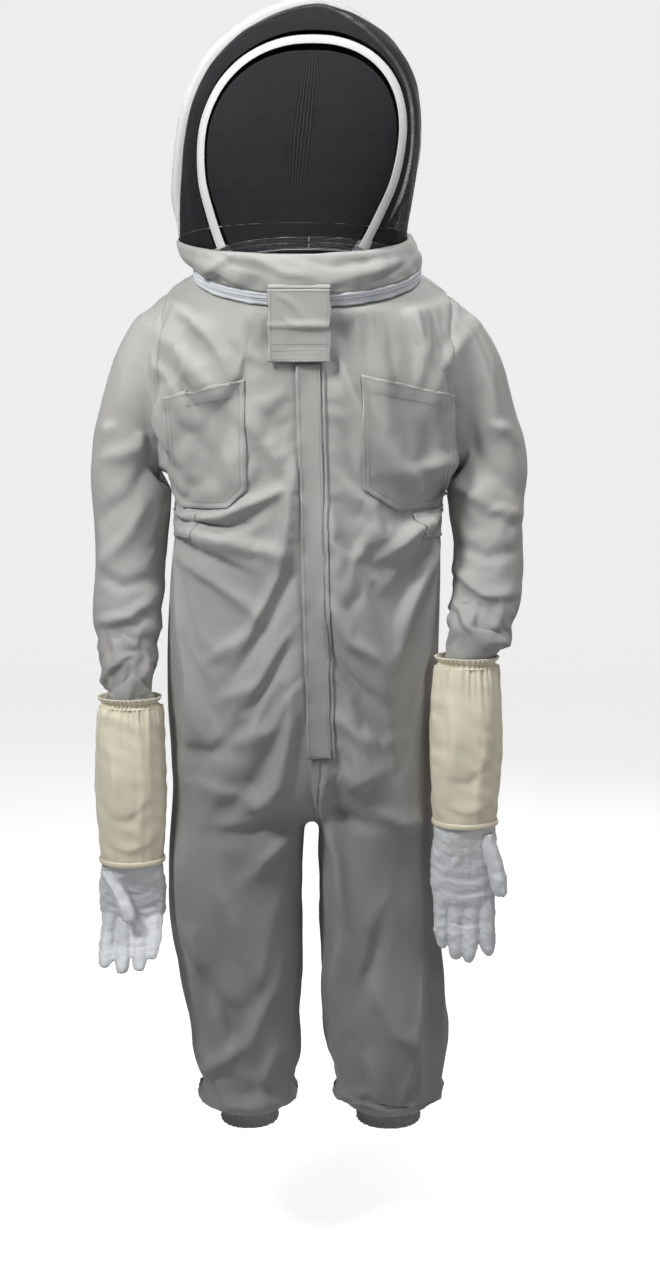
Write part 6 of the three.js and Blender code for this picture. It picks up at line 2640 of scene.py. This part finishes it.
    def _hand(self, wardrobe: Wardrobe) -> None:
        """Make the leather hand, its front and back joined by raised seams, and the thumb."""
        x, y, z = self.wrist
        hand = one_skin("hand", self._hand_parts(), 0.0021, 5)
        points = places(hand)
        normals = point_normals(hand)
        thumb = self._thumb(wardrobe, hand)
        lift = 0.0007 * ripples(points, 91 + self.side.value, 0.022) + 0.0004 * ripples(points, 95, 0.009)
        for one in self._creases():
            lift += one.lift(points[:, 0], points[:, 2]) * smooth(-normals[:, 1], -0.2, 0.4)
        away = np.minimum(np.abs(self._split_distance(points)), 0.02)
        lift += 0.0011 * np.exp(-((away / 0.0018) ** 2)) - 0.0007 * np.exp(-(((away - 0.0042) / 0.0018) ** 2))
        put_places(hand, points + normals * lift[:, None])
        work = bmesh.new()
        work.from_mesh(hand.data)
        top = Vector((0, 0, z - 0.0003))
        cuts = [
            (top, Vector((0, 0, 1)), True), (Vector((x, y, z - self.palm)), Vector((0, 1, 0)), False),
            (Vector((x, y, z - self.palm)), Vector((0, math.cos(self.curl), -math.sin(self.curl))), False),
        ]
        for point, normal, clear in cuts:
            geometry = work.verts[:] + work.edges[:] + work.faces[:]
            bmesh.ops.bisect_plane(
                work, geom=geometry, plane_co=point, plane_no=normal, clear_outer=clear, dist=1e-6
            )
        work.to_mesh(hand.data)
        work.free()
        points = places(hand)
        faces = [tuple(polygon.vertices) for polygon in hand.data.polygons]
        middles = np.array([points[list(face)].mean(axis=0) for face in faces])
        behind = self._split_distance(middles) > 0
        for word, chosen in (("front", ~behind), ("back", behind)):
            kept = [face for face, use in zip(faces, chosen) if use]
            used = np.unique(np.concatenate([np.array(face) for face in kept]))
            renumber = {int(old): new for new, old in enumerate(used)}
            name = f"glove_{word}_{self.side.word}"
            piece = make_piece(
                f"hand_{word}_{self.side.word}", points[used], [
                    tuple(renumber[i] for i in face) for face in kept
                ],
                wardrobe["leather"],
            )
            dress(thicken(piece, self.leather), self.body, "leather", name)
        bpy.data.objects.remove(hand, do_unlink=True)
        dress(thumb, self.body, "leather", f"thumb_{self.side.word}")

    def _split_distance(self, points: Points) -> Points:
        """How far behind the seam between front and back each point is."""
        _, y, z = self.wrist
        knuckle = z - self.palm
        bent = (points[:, 1] - y) * math.cos(self.curl) - (points[:, 2] - knuckle) * math.sin(self.curl)
        return np.where(points[:, 2] > knuckle, points[:, 1] - y, bent)

    def _creases(self) -> tuple[Fold, ...]:
        """The soft creases over the palm and at the roots of the fingers."""
        x, _, z = self.wrist
        root = z - self.palm
        return (
            Fold(((x - 0.04, root + 0.012), (x, root + 0.006), (x + 0.04, root + 0.012)), -0.0022, 0.005),
            Fold(
                ((x - 0.03, root + 0.035), (x + 0.01, root + 0.028), (x + 0.035, root + 0.04)), -0.0018,
                0.006
            ),
            Fold(((x - 0.02, z - 0.012), (x - 0.01, z - 0.04), (x - 0.02, z - 0.065)), 0.0016, 0.006),
            Fold(((x + 0.02, z - 0.010), (x + 0.018, z - 0.03), (x + 0.03, z - 0.055)), 0.0014, 0.006),
            Fold(((x - 0.035, root - 0.035), (x, root - 0.042), (x + 0.035, root - 0.038)), -0.0013, 0.004),
        )

    def _thumb(self, wardrobe: Wardrobe, hand: bpy.types.Object) -> bpy.types.Object:
        """Make the thumb, cut off where it enters the hand.

        Args:
            wardrobe: The finishes.
            hand: The closed skin of the hand.

        Returns:
            The thumb.
        """
        x, y, z = self.wrist
        out = self.side.value
        root = np.array([x + out * 0.030, y - 0.022, z - 0.020])
        way = np.array(
            [(1 if self.side is Side.RIGHT else -out) * self.thumb[0], self.thumb[1], self.thumb[2]]
        )
        sideways = np.cross(way, [0, 1, 0])
        sideways /= np.linalg.norm(sideways)
        stations = []
        for share, size in (
            (-0.12, 0.9), (0, 0.96), (0.3, 1), (0.5, 0.93), (0.7, 0.96), (0.92, 0.75), (1, 0.4)
        ):
            spot = root + way * share + sideways * 0.003 * math.sin(math.pi * max(share, 0))
            stations.append((*spot, 0.014 * size, 0.0135 * size))
        rings = path_rings(eased(stations, 5), np.array([1.0, 0.0, 0.0]), 56)
        points, faces = tube(rings)
        piece = make_piece(f"thumb_leather_{self.side.word}", points, faces, wardrobe["leather"])
        face_out(piece)
        normals = point_normals(piece)
        share = np.repeat(np.linspace(0, 1, len(rings)), rings.shape[1])
        turn = np.tile(np.linspace(0, 2 * np.pi, 56, endpoint=False), len(rings))
        seam = np.exp(
            -((np.sin(turn / 2 + 0.25 * out) / 0.10) ** 2)
        ) + np.exp(-((np.cos(turn / 2 + 0.25 * out) / 0.10) ** 2))
        lift = 0.0013 * seam + 0.0006 * ripples(points, 101, 0.014) - 0.0009 * np.exp(
            -(((share - 0.55) / 0.03) ** 2)
        )
        put_places(piece, points + normals * lift[:, None])
        inside = tree_of(hand)
        work = bmesh.new()
        work.from_mesh(piece.data)
        buried = []
        for face in work.faces:
            middle = face.calc_center_median()
            spot, normal, _, _ = inside.find_nearest(middle)
            if (middle - spot).dot(normal) < -0.0012:
                buried.append(face)
        bmesh.ops.delete(work, geom=buried, context="FACES")
        work.to_mesh(piece.data)
        work.free()
        return thicken(piece, self.leather)


# --- Studio ---------------------------------------------------------------------------------------


@dataclass(frozen=True)
class Studio:
    """The camera, the pale floor and backdrop, and the soft lights."""

    eye: Color = (0.033, -2.70, -0.08)
    pitch: float = math.radians(8.25)
    view_height: float = 2 * math.atan(640 / 1812)
    floor_size: float = 14.0
    sweep_start: float = 5.2
    sweep_radius: float = 1.6

    def camera(self) -> None:
        """Set up the camera."""
        data = bpy.data.cameras.new("camera")
        data.sensor_fit = "VERTICAL"
        data.angle = self.view_height
        eye = bpy.data.objects.new("camera", data)
        eye.location = self.eye
        eye.rotation_euler = (math.pi / 2 - self.pitch, 0, 0)
        bpy.context.scene.collection.objects.link(eye)
        bpy.context.scene.camera = eye

    def floor(self) -> None:
        """Lay a pale floor under the suit."""
        half = self.floor_size / 2
        sweep = np.linspace(0, math.pi / 2, 24)
        radius = self.sweep_radius
        line = [
            (-half, 0.0),
            *((self.sweep_start + radius * math.sin(a), radius - radius * math.cos(a)) for a in sweep),
            (self.sweep_start + radius, half)
        ]
        rows = [[(x, y, FLOOR_Z + z) for y, z in line] for x in (-half, half)]
        material = bpy.data.materials.new("floor")
        material.use_nodes = True
        surface = material.node_tree.nodes["Principled BSDF"]
        surface.inputs["Base Color"].default_value = (0.55, 0.55, 0.55, 1)
        surface.inputs["Roughness"].default_value = 0.9
        surface.inputs["Emission Color"].default_value = (1, 1, 1, 1)
        wire = Wiring(material.node_tree)
        seen = wire.add("ShaderNodeLightPath").outputs["Is Camera Ray"]
        wire.tree.links.new(wire.math("MULTIPLY", seen, 0.72), surface.inputs["Emission Strength"])
        piece = make_piece("floor", np.array(rows).reshape(-1, 3), grid_faces(2, len(line), False), material)
        face_out_of(piece, np.array([0.0, 1.0, -20.0]))

    def lamp(self, name: str, place: Color, aim: Color, size: float, power: float) -> None:
        """Hang a soft square lamp.

        Args:
            name: The lamp's name.
            place: Where it hangs.
            aim: The point that it faces.
            size: The length of its side.
            power: Its power in watts.
        """
        data = bpy.data.lights.new(name, "AREA")
        data.size = size
        data.energy = power
        lamp = bpy.data.objects.new(name, data)
        lamp.location = place
        lamp.rotation_euler = (Vector(aim) - Vector(place)).to_track_quat("-Z", "Y").to_euler()
        bpy.context.scene.collection.objects.link(lamp)

    def light(self) -> None:
        """Light the room."""
        world = bpy.data.worlds.new("room")
        world.use_nodes = True
        wire = Wiring(world.node_tree)
        backdrop = world.node_tree.nodes["Background"]
        seen = wire.add("ShaderNodeLightPath").outputs["Is Camera Ray"]
        strength = wire.math("MULTIPLY_ADD", seen, 0.84, 0.16)
        world.node_tree.links.new(strength, backdrop.inputs["Strength"])
        backdrop.inputs["Color"].default_value = (1, 1, 1, 1)
        bpy.context.scene.world = world
        self.lamp("key", (-1.25, -1.30, 1.25), (0, 0, -0.10), 0.5, 46)
        self.lamp("fill", (1.9, -2.2, 0.7), (0, 0, -0.3), 1.2, 12)
        self.lamp("back", (0.8, 2.4, 0.9), (0, 0, -0.3), 1.4, 34)
        self.lamp("top", (0.5, -0.7, 1.8), (0, 0, 0), 0.6, 26)

    def build(self) -> None:
        """Set up the whole studio."""
        self.floor()
        self.light()
        bpy.context.scene.view_settings.view_transform = "Standard"


def main() -> None:
    """Build the studio and the suit, one sub-assembly after another."""
    logging.basicConfig(level=logging.INFO, format="%(name)s: %(message)s")
    studio = Studio()
    studio.camera()
    wardrobe = Wardrobe()
    tree = run_tree()
    coverall = Coverall()
    panels = coverall.cut(coverall.weave_cloth(), wardrobe)
    for name, panel in panels.items():
        dress(panel, "suit", "twill", name)
    pockets = (
        ChestPocket(
            Side.LEFT, (
                (0.086, -0.082), (0.205, -0.108), (0.198, -0.245), (0.178, -0.267), (0.112, -0.265),
                (0.084, -0.238)
            ), gape=0.009
        ),
        ChestPocket(
            Side.RIGHT, (
                (0.076, -0.076), (0.210, -0.104), (0.206, -0.242), (0.186, -0.266), (0.128, -0.268),
                (0.080, -0.238)
            ), gape=0.003
        ),
    )
    for pocket in pockets:
        pocket.build(coverall, wardrobe, tree)
    FrontClosure().build(coverall, wardrobe, tree)
    Elastics().build(coverall, wardrobe)
    NeckZip().build(wardrobe, tree)
    Collar().build(wardrobe, tree)
    ThroatFlap().build(coverall, wardrobe, tree)
    Hood().build(wardrobe, tree)
    gloves = (
        Glove(Side.LEFT, (-0.262, -0.070, -0.794), 0.078, math.radians(42), (0.030, -0.026, -0.062)),
        Glove(Side.RIGHT, (0.232, -0.092, -0.731), 0.112, math.radians(2), (0.022, -0.004, -0.084)),
    )
    for glove in gloves:
        glove.build(wardrobe, tree)
    studio.build()


if __name__ == "__main__":
    main()
